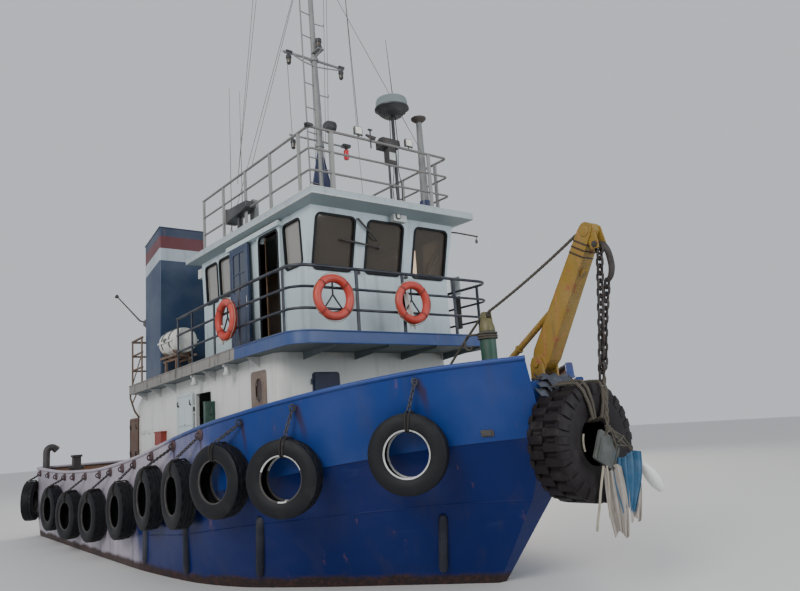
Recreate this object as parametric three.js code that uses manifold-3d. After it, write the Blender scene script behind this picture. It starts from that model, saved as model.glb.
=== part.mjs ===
// Harbour tugboat, about 17 m long, in millimetres.
// +X points to the bow, +Y to port, +Z up. The origin is on the centreline at the waterline, 6.8 m
// abaft the point where the stem meets the water, which is close to amidships.

import * as THREE from 'three';
import { mergeVertices } from 'three/addons/utils/BufferGeometryUtils.js';
import Module from 'manifold-3d';

const wasm = await Module();
wasm.setup();

// Driving dimensions
const SEAT = 0.3; // gap left between pieces that touch
const STARBOARD = -1;
const PORT = 1;

const WALL = 60; // thickness of a deckhouse or wheelhouse wall
const PLATE = 50; // thickness of the bulwark with its stiffeners

const HOUSE = { aft: -3600, front: 3960, half: 1870, corner: 220, sweepTop: -2650, sweepLow: 2900 };
const BRIDGE = { aft: -2750, front: 5060, half: 2180, top: 3790, thick: 200, levelFrom: 3400, aftTop: 3620 };
const CABIN = { aft: 200, front: 4450, half: 1540, sill: 4900, frontTop: 4700, halfTop: 1580, top: 5950 };
const ROOF = { aft: -180, front: 5090, half: 1780, soffit: 6000, top: 6125 };
const TYRE = { outer: 530, inner: 300, half: 150 };
const BOW_TYRE = { outer: 750, inner: 300, half: 290, x: 8398.7, z: 1880 };
const RING = { middle: 305, tube: 70, z: 4310 };
const RAIL = { height: 1032, radius: 24, half: 2130, front: 5010, corner: 300 };
const ROOF_RAIL = { height: 1200, radius: 22, half: 1557, front: 4710, aft: 290, corner: 70 };
const FUNNEL = { aft: -1860, front: -900, outer: 2090, inner: 1060, frontTop: 7030, aftTop: 6800 };
const BOOM = { footX: 7930, footZ: 2930, headX: 8940, headZ: 4580, footDepth: 300, headDepth: 200, width: 220 };
const POST = { x: 6920, radius: 120, top: 3730, head: 200, headRadius: 75, base: 260 };
const SCREW = { x: -5950, y: 1250, z: -1050, radius: 600, hub: 120 };
const RUDDER = { stockX: -6900, chordAft: 620, chordFore: 180, half: 35, low: -1700, high: -420 };

// Materials
const paint = (color, roughness = 0.5, metalness = 0.1) =>
  new THREE.MeshStandardMaterial({ color, roughness, metalness });
const HULL_BLUE = paint(0x1c3f9e, 0.45);
const RAIL_BLUE = paint(0x27509c, 0.5);
const OFF_WHITE = paint(0xd9dcd8, 0.6);
const PALE_BLUE = paint(0xc4d6e0, 0.55);
const DECK_GREY = paint(0x7f8a8c, 0.8);
const DOOR_WHITE = paint(0xd5dde0, 0.5);
const DOOR_BLUE = paint(0x1f3a66, 0.5);
const RUSTY = paint(0x5a3826, 0.85);
const DARK_RAIL = paint(0x1d2530, 0.6, 0.3);
const GREY_RAIL = paint(0xa9a7a0, 0.6, 0.3);
const FUNNEL_BLUE = paint(0x1f4a7d, 0.5);
const MAST_GREY = paint(0xa3a199, 0.6, 0.3);
const RADAR_WHITE = paint(0xb9bdb9, 0.5);
const RAFT_WHITE = paint(0xd8d8d2, 0.45);
const RING_ORANGE = paint(0xd8432c, 0.6);
const RUBBER = paint(0x2a2b2d, 0.9, 0);
const BOOM_YELLOW = paint(0xc08a1e, 0.6);
const POST_GREEN = paint(0x2d5f45, 0.6);
const CHAIN = paint(0x2c2622, 0.8, 0.5);
const BRONZE = paint(0x9a7437, 0.4, 0.9);
const RED_LEAD = paint(0x6e2c24, 0.7);
const CONSOLE = paint(0x6e4a2e, 0.6);

// Solids
function toSolid(geometry) {
  const bare = geometry.clone();
  for (const name of Object.keys(bare.attributes)) if (name !== 'position') bare.deleteAttribute(name);
  const merged = mergeVertices(bare, 1e-3);
  const mesh = new wasm.Mesh({
    numProp: 3,
    vertProperties: new Float32Array(merged.attributes.position.array),
    triVerts: new Uint32Array(merged.index.array),
  });
  return new wasm.Manifold(mesh);
}

function toGeometry(solid) {
  const mesh = solid.getMesh();
  const geometry = new THREE.BufferGeometry();
  geometry.setAttribute('position', new THREE.BufferAttribute(new Float32Array(mesh.vertProperties), 3));
  geometry.setIndex(new THREE.BufferAttribute(new Uint32Array(mesh.triVerts), 1));
  return geometry;
}

function join(...geometries) {
  return toGeometry(geometries.map(toSolid).reduce((sum, solid) => sum.add(solid)));
}

function cut(geometry, ...tools) {
  return toGeometry(tools.map(toSolid).reduce((rest, tool) => rest.subtract(tool), toSolid(geometry)));
}

const moved = (geometry, x, y, z) => geometry.clone().translate(x, y, z);

// A copy of a geometry on the other side of the centreline, with its faces turned back out
function mirrored(geometry) {
  const copy = geometry.clone().scale(1, -1, 1);
  const flat = copy.index ? copy.toNonIndexed() : copy;
  const p = flat.attributes.position;
  for (let i = 0; i < p.count; i += 3) {
    const a = [p.getX(i), p.getY(i), p.getZ(i)];
    p.setXYZ(i, p.getX(i + 1), p.getY(i + 1), p.getZ(i + 1));
    p.setXYZ(i + 1, ...a);
  }
  return toGeometry(toSolid(flat));
}

// Plain shapes, given by their limits
const box = (x0, x1, y0, y1, z0, z1) =>
  new THREE.BoxGeometry(x1 - x0, y1 - y0, z1 - z0).translate((x0 + x1) / 2, (y0 + y1) / 2, (z0 + z1) / 2);

const outline = (points) => new THREE.Shape(points.map(([u, v]) => new THREE.Vector2(u, v)));

function extrude(shape, depth, curveSegments = 4) {
  return new THREE.ExtrudeGeometry(shape, { depth, bevelEnabled: false, curveSegments });
}

// An outline in X and Z, pulled from y0 to y1
const sideways = (shape, y0, y1) => extrude(shape, y1 - y0).rotateX(Math.PI / 2).translate(0, y1, 0);

// An outline in X and Y, pulled from z0 to z1
const upwards = (shape, z0, z1, segments) => extrude(shape, z1 - z0, segments).translate(0, 0, z0);

// A straight bar between two points
function bar(from, to, radius, sides = 6, endRadius = radius) {
  const a = new THREE.Vector3(...from);
  const b = new THREE.Vector3(...to);
  const along = b.clone().sub(a);
  const turn = new THREE.Quaternion().setFromUnitVectors(new THREE.Vector3(0, 1, 0), along.clone().normalize());
  return new THREE.CylinderGeometry(endRadius, radius, along.length(), sides)
    .applyQuaternion(turn)
    .translate(...a.add(b).multiplyScalar(0.5).toArray());
}

// A ring turned about an axis through its middle, from a closed profile of radius and height
function turned(profile, segments) {
  const points = profile.concat([profile[0]]).map(([r, h]) => new THREE.Vector2(r, h));
  return new THREE.LatheGeometry(points, segments);
}

// A skin over rows of points: each row is a closed loop, and flat or stepped ends close it
function loft(rows, capTriangles) {
  const width = rows[0].length;
  const index = [];
  for (let i = 0; i + 1 < rows.length; i += 1) {
    for (let j = 0; j < width; j += 1) {
      const k = (j + 1) % width;
      const [a, b, c, d] = [i * width + j, i * width + k, (i + 1) * width + k, (i + 1) * width + j];
      index.push(a, b, c, a, c, d);
    }
  }
  const last = (rows.length - 1) * width;
  for (const [a, b, c] of capTriangles) {
    index.push(a, c, b);
    index.push(last + a, last + b, last + c);
  }
  const geometry = new THREE.BufferGeometry();
  geometry.setAttribute('position', new THREE.Float32BufferAttribute(rows.flat(2), 3));
  geometry.setIndex(index);
  const solid = toSolid(geometry);
  return solid.volume() > 0 ? geometry : flipped(geometry);
}

function flipped(geometry) {
  const index = Array.from(geometry.index.array);
  for (let i = 0; i < index.length; i += 3) [index[i], index[i + 1]] = [index[i + 1], index[i]];
  geometry.setIndex(index);
  return geometry;
}

const fan = (count) => Array.from({ length: count - 2 }, (_, i) => [0, i + 1, i + 2]);

// A bar of square section, standing on its edge, along a row of points with mitred corners
function railRun(points, radius) {
  const heading = (from, to) => {
    const length = Math.hypot(to[0] - from[0], to[1] - from[1]);
    return [(to[0] - from[0]) / length, (to[1] - from[1]) / length];
  };
  const rows = points.map(([x, y, z], i) => {
    const before = heading(points[Math.max(0, i - 1)], points[Math.max(1, i)]);
    const after = i + 1 < points.length ? heading(points[i], points[i + 1]) : before;
    const middle = [before[0] + after[0], before[1] + after[1]];
    const sum = Math.hypot(...middle);
    const reach = (radius * 2) / sum;
    const [sx, sy] = [(-middle[1] / sum) * reach, (middle[0] / sum) * reach];
    return [[x + sx, y + sy, z], [x, y, z + radius], [x - sx, y - sy, z], [x, y, z - radius]];
  });
  return loft(rows, fan(4));
}

// Hull sections from stern to bow, starboard half: [x, half breadth, z] at each level
const SECTIONS = [
  // deck edge, topside, waterline, bilge, bottom
  [[-8200, 2850, 950], [-8200, 2840, 450], [-8180, 2780, 0], [-8120, 2600, -250], [-8050, 500, -330]],
  [[-8160, 2950, 948], [-8160, 2940, 450], [-8140, 2880, 0], [-8080, 2680, -260], [-8000, 500, -335]],
  [[-8050, 3000, 945], [-8050, 2990, 450], [-8030, 2940, 0], [-7970, 2740, -270], [-7900, 500, -345]],
  [[-5400, 3000, 890], [-5400, 2990, 450], [-5400, 2960, 0], [-5400, 2800, -330], [-5400, 500, -420]],
  [[-2800, 3000, 920], [-2800, 2990, 500], [-2800, 2980, 0], [-2800, 2800, -1000], [-2800, 450, -1550]],
  [[0, 3000, 1060], [0, 2990, 600], [0, 2980, 0], [0, 2780, -1100], [0, 400, -1750]],
  [[2400, 3000, 1300], [2400, 2960, 750], [2400, 2820, 0], [2400, 2400, -1050], [2400, 350, -1750]],
  [[3700, 2960, 1480], [3700, 2820, 900], [3600, 2480, 0], [3500, 1850, -1000], [3500, 280, -1720]],
  [[4500, 2820, 1600], [4450, 2560, 980], [4350, 2020, 0], [4150, 1400, -970], [4150, 230, -1680]],
  [[5250, 2480, 1720], [5150, 2130, 1040], [5000, 1530, 0], [4700, 980, -930], [4700, 180, -1600]],
  [[6200, 1810, 1860], [6000, 1440, 1110], [5700, 960, 0], [5300, 520, -880], [5250, 130, -1500]],
  [[7200, 1016, 1970], [6950, 740, 1160], [6350, 430, 0], [5800, 230, -830], [5750, 100, -1380]],
  [[8100, 330, 2020], [7660, 200, 1170], [6780, 70, 0], [6200, 60, -800], [6100, 60, -1250]],
];
const deckEdge = SECTIONS.map((section) => section[0]);

// Rail of the bulwark over the same sections: [x, half breadth, z]
const RAIL_TOP = [
  [-8230, 2860, 1860], [-8187, 2975, 1857], [-8075, 3030, 1850], [-5400, 3030, 1760], [-2800, 3030, 1800],
  [0, 3030, 2010], [2400, 3030, 2350], [3750, 3010, 2520], [4650, 2905, 2620], [5480, 2610, 2740],
  [6390, 1978, 2890], [7250, 1295, 2990], [8130, 600, 3030],
];

function deckHeight(x) {
  const i = Math.max(0, deckEdge.findIndex((point) => point[0] >= x) - 1);
  const [a, b] = [deckEdge[i], deckEdge[i + 1]];
  return a[2] + ((x - a[0]) / (b[0] - a[0])) * (b[2] - a[2]);
}

function hullShell() {
  const levels = SECTIONS[0].length;
  const rows = SECTIONS.map((section) => [
    ...section.map(([x, y, z]) => [x, STARBOARD * y, z]),
    ...section.map(([x, y, z]) => [x, PORT * y, z]).reverse(),
  ]);
  const caps = [];
  for (let j = 0; j + 1 < levels; j += 1) {
    const [a, b, c, d] = [j, j + 1, 2 * levels - 2 - j, 2 * levels - 1 - j];
    caps.push([a, b, c], [a, c, d]);
  }
  return loft(rows, caps);
}

const shell = hullShell();

// The raised block inside the bow, which the boom stands on
const BLOCK = { aft: 7450, front: 8085, top: 2700 };
function bowBlock(grow = 0) {
  const low = [[BLOCK.aft - grow, 720 + grow], [BLOCK.front, 255 + grow]];
  const high = [[BLOCK.aft - grow, 985 + grow], [BLOCK.front, 505 + grow]];
  const ring = ([[xa, ya], [xf, yf]], z) => [[xa, -ya, z], [xf, -yf, z], [xf, yf, z], [xa, ya, z]];
  return loft([ring(low, 1900), ring(high, BLOCK.top)], fan(4));
}

// Fittings welded to the hull
const SKEG = {
  half: 110,
  profile: [ // X and Z
    [-7050, -300], [-7050, -1900], [5000, -1900], [5750, -1300], [5000, -1400], [-2500, -1400], [-5000, -300],
  ],
};
const skeg = () => sideways(outline(SKEG.profile), -SKEG.half, SKEG.half);

const SHAFT = { radius: 75, fore: -3300, rise: 180 };
const BARREL = { radius: 125, aft: -5745, fore: -5350 };
const STRUT = { half: 25, aft: -5640, fore: -5440, top: -350 };
function shaftBearing(side) {
  const y = side * SCREW.y;
  const shaft = bar([BARREL.aft + 15, y, SCREW.z], [SHAFT.fore, y, SCREW.z + SHAFT.rise], SHAFT.radius, 8);
  const barrel = bar([BARREL.aft, y, SCREW.z], [BARREL.fore, y, SCREW.z], BARREL.radius, 10);
  const { half, aft, fore, top } = STRUT;
  const strut = box(aft, fore, y - half, y + half, SCREW.z + SHAFT.radius - 15, top);
  return join(barrel, shaft, strut);
}

const STOCK = { radius: 55, tube: 95, tubeTop: -250, seat: RUDDER.high + 62 };
function rudderTube(side) {
  const y = side * SCREW.y;
  return bar([RUDDER.stockX, y, STOCK.tubeTop], [RUDDER.stockX, y, STOCK.seat], STOCK.tube, 8);
}

const ROOT = 40; // how far deck fittings run down into the deck

// Two posts with a cross beam, which the towing hook swings on
const TOW_POST = { x: -4600, half: 380, top: 2000, legX: 110, legY: 90 };
const TOW_BEAM = { half: 90, out: 260, low: 1560, high: 1720 };
function towPost() {
  const { x, half, top, legX, legY } = TOW_POST;
  const base = deckHeight(x) - ROOT;
  const legs = [-half, half].map((y) => box(x - legX, x + legX, y - legY, y + legY, base, top));
  const reach = half + TOW_BEAM.out;
  return join(...legs, box(x - TOW_BEAM.half, x + TOW_BEAM.half, -reach, reach, TOW_BEAM.low, TOW_BEAM.high));
}

const BITT = { x: -6300, y: 2450, height: 1240, half: 95, head: 120, headDeep: 60 };
function squareBitt(side) {
  const { x, height, half, head, headDeep } = BITT;
  const y = side * BITT.y;
  const base = deckHeight(x);
  const cap = box(x - head, x + head, y - head, y + head, base + height - headDeep, base + height);
  return join(box(x - half, x + half, y - half, y + half, base - ROOT, base + height), cap);
}

const VENT = { x: -8000, y: 2830, height: 1355, radius: 95, mouth: 103 };
function gooseneck(side) {
  const { x, height, radius, mouth } = VENT;
  const inboard = (reach) => side * (VENT.y - reach);
  const y = side * VENT.y;
  const base = deckHeight(x);
  const top = base + height;
  const riser = bar([x, y, base - ROOT], [x, y, top], radius, 8);
  const neck = bar([x, y, top - 30], [x, inboard(150), top + 90], radius, 8);
  return join(riser, neck, bar([x, inboard(130), top + 80], [x, inboard(290), top + 30], mouth, 8));
}

const HATCH = { x: -6050, half: 420, height: 320 };
function hatchCoaming() {
  const { x, half, height } = HATCH;
  return box(x - half, x + half, -half, half, deckHeight(x) - ROOT, deckHeight(x) + height);
}

const BOLLARD = { x: 5550, y: 1500, height: 420, spread: 170, radius: 75 };
const BOLLARD_BAR = { reach: 300, half: 60, low: 130, high: 220 };
function bollard(side) {
  const { x, height, spread, radius } = BOLLARD;
  const { reach, half, low, high } = BOLLARD_BAR;
  const y = side * BOLLARD.y;
  const base = deckHeight(x);
  const post = (dx) => bar([x + dx, y, base - ROOT], [x + dx, y, base + height], radius, 8);
  const cross = box(x - reach, x + reach, y - half, y + half, base + low, base + high);
  return join(post(-spread), post(spread), cross);
}

function hull() {
  const pairs = [shaftBearing, rudderTube, squareBitt, gooseneck, bollard];
  const fittings = pairs.flatMap((make) => [STARBOARD, PORT].map((side) => make(side)));
  return join(shell, bowBlock(), skeg(), towPost(), hatchCoaming(), ...fittings);
}

// Everything below the deck, for trimming what stands on it
const belowDeck = sideways(outline([
  [9000, -3000], [9000, deckEdge.at(-1)[2] + SEAT], ...deckEdge.map(([x, , z]) => [x, z + SEAT]).reverse(),
  [-9000, deckEdge[0][2] + SEAT], [-9000, -3000],
]), -4000, 4000);

// Bulwark: an upright plate with a rail on it, swept along the deck edge
const CAP = { height: 70, out: 30, inside: 95 };
function bulwarkRow(base, top, inward) {
  const at = ([x, y, z], shift, down) => [x + inward[0] * shift, y + inward[1] * shift, z - down];
  return [
    at(base, 0, 60), at(top, 0, CAP.height), at(top, -CAP.out, CAP.height), at(top, -CAP.out, 0),
    at(top, CAP.inside, 0), at(top, CAP.inside, CAP.height), at(top, PLATE, CAP.height), at(base, PLATE, 60),
  ];
}
const bulwarkCaps = [[0, 1, 6], [0, 6, 7], [1, 2, 3], [1, 3, 6], [3, 4, 6], [4, 5, 6]];

function inwardAt(points, i) {
  const a = points[Math.max(0, i - 1)];
  const b = points[Math.min(points.length - 1, i + 1)];
  const length = Math.hypot(b[0] - a[0], b[1] - a[1]);
  return [-(b[1] - a[1]) / length, (b[0] - a[0]) / length];
}

// The line from the port bow round the stern to the starboard bow
const bothSides = (points) => [
  ...points.map(([x, y, z]) => [x, y, z]).reverse(),
  ...points.map(([x, y, z]) => [x, -y, z]),
];
const railTops = bothSides(RAIL_TOP);
const bulwarkRows = bothSides(deckEdge).map((base, i) => bulwarkRow(base, railTops[i], inwardAt(railTops, i)));
const QUARTER = 2; // section where the stern bulwark meets the side bulwark
const middleRow = RAIL_TOP.length;

function sideBulwark() {
  const [first, ...others] = bulwarkRows.slice(middleRow + QUARTER);
  const plate = loft([first.map(([x, y, z]) => [x + SEAT, y, z]), ...others], bulwarkCaps);
  return cut(plate, belowDeck, moved(bowBlock(8), 0, 0, SEAT), box(8110, 8400, -3000, 3000, 0, 4000));
}

// The port bulwark is cut down at the bow, where nothing stands beside the boom
const NOTCH = {
  inner: 20,
  outer: 3000,
  profile: [[7450, 3150], [7760, 2740], [8400, 2740], [8400, 3150]], // X and Z
};
const portNotch = sideways(outline(NOTCH.profile), NOTCH.inner, NOTCH.outer);

function sternBulwark() {
  const rows = bulwarkRows.slice(middleRow - QUARTER - 1, middleRow + QUARTER + 1);
  return cut(loft(rows, bulwarkCaps), belowDeck);
}

// Deckhouse, under the bridge deck
const bridgeSlope = (BRIDGE.top - BRIDGE.aftTop) / (BRIDGE.levelFrom - BRIDGE.aft);
const bridgeTop = (x) => BRIDGE.top - Math.max(0, BRIDGE.levelFrom - x) * bridgeSlope;
const houseTop = (x) => bridgeTop(x) - BRIDGE.thick - SEAT;

const LOW = 600; // below every deck, so that walls are cut to the deck line

const HOUSE_DOORS = {
  // clear opening of each doorway in a side wall
  main: { aft: 480, front: 1260, sill: 1400, top: 3190 },
  aft: { aft: -3500, front: -2960, sill: 1180, top: 2860 },
};
const PORTHOLE = { x: 3250, z: 3010, half: 120, rise: 210 };

function doorway({ aft, front, sill, top }, y0, y1) {
  return box(aft, front, y0, y1, sill, top);
}

function ovalHole(y0, y1) {
  const { x, z, half, rise } = PORTHOLE;
  const shape = new THREE.Shape();
  shape.moveTo(x - half, z - rise + half);
  shape.absarc(x, z - rise + half, half, Math.PI, 2 * Math.PI, false);
  shape.lineTo(x + half, z + rise - half);
  shape.absarc(x, z + rise - half, half, 0, Math.PI, false);
  return sideways(shape, y0, y1);
}

// Hinges of a deckhouse door: brackets on the wall above and below a barrel on the leaf
const HINGE = { out: 35, half: 8, barrel: 100, plate: 30, gap: 20 };
const hingeLevels = ({ sill, top }) => [sill + 260, top - 360];

function hingeBrackets(x, side, door) {
  const y0 = side === PORT ? HOUSE.half - 10 : -HOUSE.half - HINGE.out - HINGE.half;
  const y1 = side === PORT ? HOUSE.half + HINGE.out + HINGE.half : -HOUSE.half + 10;
  return hingeLevels(door).flatMap((z) => [
    box(x - HINGE.half, x + HINGE.half, y0, y1, z - HINGE.plate - SEAT, z - SEAT),
    box(x - HINGE.half, x + HINGE.half, y0, y1, z + HINGE.barrel + SEAT, z + HINGE.barrel + HINGE.plate + SEAT),
  ]);
}

function hingeBarrels(x, side, door, leafEdge) {
  const y = side * (HOUSE.half + HINGE.out);
  return hingeLevels(door).flatMap((z) => [
    bar([x, y, z], [x, y, z + HINGE.barrel], HINGE.half, 8),
    box(Math.min(x, leafEdge), Math.max(x, leafEdge), y - 5, y + 5, z, z + HINGE.barrel),
  ]);
}

function houseSide(side) {
  const y0 = Math.min(side * HOUSE.half, side * (HOUSE.half - WALL));
  const y1 = y0 + WALL;
  const front = HOUSE.front - HOUSE.corner - SEAT;
  const wall = sideways(outline([
    [HOUSE.aft, LOW], [front, LOW], [front, houseTop(front)], [BRIDGE.levelFrom, houseTop(BRIDGE.levelFrom)],
    [HOUSE.sweepTop, houseTop(HOUSE.sweepTop)], [HOUSE.aft, HOUSE.sweepLow],
  ]), y0, y1);
  const holes = [doorway(HOUSE_DOORS.main, y0 - 9, y1 + 9), ovalHole(y0 - 9, y1 + 9)];
  if (side === STARBOARD) holes.push(doorway(HOUSE_DOORS.aft, y0 - 9, y1 + 9));
  const hinges = hingeBrackets(HOUSE_DOORS.main.aft - 30 - HINGE.gap, side, HOUSE_DOORS.main);
  if (side === STARBOARD) {
    hinges.push(...hingeBrackets(HOUSE_DOORS.aft.aft - 30 - HINGE.gap, side, HOUSE_DOORS.aft));
  }
  return join(cut(wall, ...holes, belowDeck), ...hinges);
}

function houseFront() {
  const r = HOUSE.corner;
  const { front, half } = HOUSE;
  const plan = new THREE.Shape();
  plan.moveTo(front - r, -half);
  plan.absarc(front - r, -half + r, r, -Math.PI / 2, 0, false);
  plan.absarc(front - r, half - r, r, 0, Math.PI / 2, false);
  plan.lineTo(front - r, half - WALL);
  plan.absarc(front - r, half - r, r - WALL, Math.PI / 2, 0, true);
  plan.absarc(front - r, -half + r, r - WALL, 0, -Math.PI / 2, true);
  plan.lineTo(front - r, -half);
  return cut(upwards(plan, LOW, houseTop(front), 3), belowDeck);
}

function houseAft() {
  const inner = HOUSE.half - WALL - SEAT;
  const lean = WALL * 1.3;
  const wall = sideways(outline([
    [HOUSE.aft, LOW], [HOUSE.aft + WALL, LOW], [HOUSE.aft + WALL, HOUSE.sweepLow - 20],
    [HOUSE.sweepTop + lean, houseTop(HOUSE.sweepTop + lean)], [HOUSE.sweepTop, houseTop(HOUSE.sweepTop)],
    [HOUSE.aft, HOUSE.sweepLow],
  ]), -inner, inner);
  return cut(wall, belowDeck);
}

// Bridge deck, with the rack for the life raft on its starboard edge
const RAFT = { x: -310, y: -1930, z: 4330, radius: 270, half: 480 };
const RACK = { spread: 300, legHalf: 30, legIn: 115, legOut: 165, sill: 230 };
const RUNNER = { y: 140, half: 25, reach: 450, low: 3900, high: 3950 };
function bridgeSlab() {
  const { aft, front, top, thick, levelFrom, aftTop } = BRIDGE;
  const section = sideways(outline([
    [aft, aftTop - thick], [levelFrom, top - thick], [front, top - thick],
    [front, top], [levelFrom, top], [aft, aftTop],
  ]), -BRIDGE.half, BRIDGE.half);
  const r = RAIL.corner + 50;
  const plan = new THREE.Shape();
  plan.moveTo(aft, -BRIDGE.half);
  plan.lineTo(front - r, -BRIDGE.half);
  plan.absarc(front - r, -BRIDGE.half + r, r, -Math.PI / 2, 0, false);
  plan.absarc(front - r, BRIDGE.half - r, r, 0, Math.PI / 2, false);
  plan.lineTo(aft, BRIDGE.half);
  const trimmed = toSolid(section).intersect(toSolid(upwards(plan, 3000, 4200, 3)));
  return toGeometry(trimmed);
}

function raftRack() {
  const { x, y, z, radius } = RAFT;
  const { spread, legHalf, legIn, legOut, sill } = RACK;
  const [foot, legTop] = [bridgeTop(x) - ROOT, z - radius + 70];
  const frames = [-spread, spread].flatMap((dx) => {
    const [x0, x1] = [x + dx - legHalf, x + dx + legHalf];
    return [
      box(x0, x1, y - legOut, y - legIn, foot, legTop),
      box(x0, x1, y + legIn, y + legOut, foot, legTop),
      box(x0, x1, y - sill, y + sill, z - radius - 70, z - radius - 10),
    ];
  });
  const { half, reach, low, high } = RUNNER;
  const runner = (at) => box(x - reach, x + reach, at - half, at + half, low, high);
  return [...frames, runner(y - RUNNER.y), runner(y + RUNNER.y)];
}

const slab = bridgeSlab();

// Everything below the walking surface of the bridge deck, for trimming what stands on it
const belowBridge = sideways(outline([
  [BRIDGE.aft - 50, 2500], [BRIDGE.front + 50, 2500], [BRIDGE.front + 50, BRIDGE.top + SEAT],
  [BRIDGE.levelFrom, BRIDGE.top + SEAT], [BRIDGE.aft - 50, bridgeTop(BRIDGE.aft - 50) + SEAT],
]), -2500, 2500);

function raftShape(grow = 0) {
  const half = RAFT.half + grow;
  const radius = RAFT.radius + grow;
  const dome = 90;
  const shell = [[0, -half], [radius * 0.7, -half], [radius, -half + dome], [radius, -25]];
  const profile = [...shell, [radius + 18, -25]];
  const far = profile.slice().reverse().map(([r, h]) => [r, -h]);
  const points = [...profile, ...far].map(([r, h]) => new THREE.Vector2(r, h));
  return new THREE.LatheGeometry(points, 14).rotateZ(Math.PI / 2).translate(RAFT.x, RAFT.y, RAFT.z);
}

const raftGeometry = join(raftShape());

function bridgeDeck() {
  return cut(join(slab, ...raftRack()), raftShape(SEAT));
}

// Wheelhouse: lower walls upright, window band leaning forward and out
const cabinFront = (z) =>
  CABIN.front + (Math.max(0, z - CABIN.sill) * (CABIN.frontTop - CABIN.front)) / (CABIN.top - CABIN.sill);
const cabinHalf = (z) =>
  CABIN.half + (Math.max(0, z - CABIN.sill) * (CABIN.halfTop - CABIN.half)) / (CABIN.top - CABIN.sill);

const CABIN_TOP = CABIN.top - SEAT;
const CABIN_LEVELS = [3500, CABIN.sill, CABIN_TOP];

// Front windows by their middle in Y, and side windows by their ends in X
const FRONT_WINDOWS = [-1060, 0, 1060];
const FRONT_WINDOW = { half: 395, low: 4925, high: 5835 };
const SIDE_WINDOWS = [
  { aft: 400, front: 980 },
  { aft: 1080, front: 1600 },
  { aft: 3760, front: 4330 },
];
const CABIN_DOOR = { aft: 2930, front: 3650, sill: 3850, top: 5800, track: 5835 };
const AFT_WINDOWS = [-850, 850];

function cabinSide(side) {
  const rows = CABIN_LEVELS.map((z) => {
    const [front, half] = [cabinFront(z), cabinHalf(z)];
    return [
      [CABIN.aft + SEAT, side * half, z], [front - SEAT, side * half, z],
      [front - WALL - SEAT, side * (half - WALL), z], [CABIN.aft + WALL + SEAT, side * (half - WALL), z],
    ];
  });
  const low = Math.min(side * 1400, side * 1700);
  const frameLow = Math.min(side * 1490, side * 1630);
  const { aft: doorAft, front: doorFront, sill, top: doorTop } = CABIN_DOOR;
  const frame = box(doorAft - 70, doorFront + 70, frameLow, frameLow + 140, 3500, doorTop + 80);
  const trackLow = Math.min(side * 1490, side * 1690);
  const track = box(1650, doorFront + 120, trackLow, trackLow + 200, CABIN_DOOR.track, 5900);
  const panes = SIDE_WINDOWS.map(({ aft, front }) => box(aft, front, low, low + 300, 5020, 5820));
  const door = box(doorAft, doorFront, low, low + 300, sill, doorTop);
  return cut(join(loft(rows, fan(4)), frame, track), ...panes, door, belowBridge);
}

function cabinFrontWall() {
  const rows = CABIN_LEVELS.map((z) => {
    const [front, half] = [cabinFront(z), cabinHalf(z)];
    return [
      [front, -half, z], [front, half, z], [front - WALL, half - WALL, z], [front - WALL, -half + WALL, z],
    ];
  });
  const { half, low, high } = FRONT_WINDOW;
  const panes = FRONT_WINDOWS.map((y) => box(4200, 5000, y - half, y + half, low, high));
  return cut(loft(rows, fan(4)), ...panes, belowBridge);
}

function cabinAftWall() {
  const rows = CABIN_LEVELS.map((z) => {
    const half = cabinHalf(z);
    const [aft, inner] = [CABIN.aft, CABIN.aft + WALL];
    return [[aft, -half, z], [aft, half, z], [inner, half - WALL, z], [inner, -half + WALL, z]];
  });
  const panes = AFT_WINDOWS.map((y) => box(0, 400, y - 350, y + 350, 5020, 5780));
  return cut(loft(rows, fan(4)), ...panes, belowBridge);
}

function cabinRoof() {
  const ring = (aft, front, half, z) => [[aft, -half, z], [front, -half, z], [front, half, z], [aft, half, z]];
  return loft([
    ring(CABIN.aft - 30, CABIN.frontTop + 30, CABIN.halfTop + 20, CABIN.top),
    ring(ROOF.aft, ROOF.front, ROOF.half, ROOF.soffit),
    ring(ROOF.aft, ROOF.front, ROOF.half, ROOF.top),
  ], fan(4));
}

// Steering stand and wheel, seen through the windows
const DESK = { aft: 3750, front: 4250, half: 1050, top: 4750 };
const WHEEL = { x: 3600, z: 4560, outer: 300, inner: 260, half: 20, spoke: 12 };
function steeringStand() {
  const { outer, inner, half, spoke } = WHEEL;
  const desk = box(DESK.aft, DESK.front, -DESK.half, DESK.half, 3700, DESK.top);
  const wheel = turned([[inner, -half], [outer, -half], [outer, half], [inner, half]], 16).rotateZ(Math.PI / 2);
  const spokes = [0, 1, 2].map((i) =>
    box(-spoke, spoke, -inner - 15, inner + 15, -spoke, spoke).rotateX((i * Math.PI) / 3));
  const shaft = bar([-half, 0, 0], [DESK.aft + 30 - WHEEL.x, 0, 0], 30, 8);
  const helm = join(wheel, ...spokes, shaft).translate(WHEEL.x, 0, WHEEL.z);
  return cut(join(desk, helm), belowBridge);
}

// Doors
const LEAF = 40; // thickness of a door leaf
function houseLeaf(door, side, shift = 0) {
  const middle = side * (HOUSE.half + HINGE.out);
  const [aft, front] = [door.aft - 30 + shift, door.front + 30 + shift];
  const hingeX = door.aft - 30 - HINGE.gap;
  const edge = shift < 0 ? front - 15 : aft + 15;
  const leaf = box(aft, front, middle - LEAF / 2, middle + LEAF / 2, door.sill - 30, door.top + 30);
  return join(leaf, ...hingeBarrels(hingeX, side, door, edge));
}

// The main doors stand open, folded back against the wall behind their doorway
function openHouseLeaf(side) {
  const { main } = HOUSE_DOORS;
  return houseLeaf(main, side, -(main.front - main.aft + 60) - 2 * HINGE.gap);
}

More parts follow.
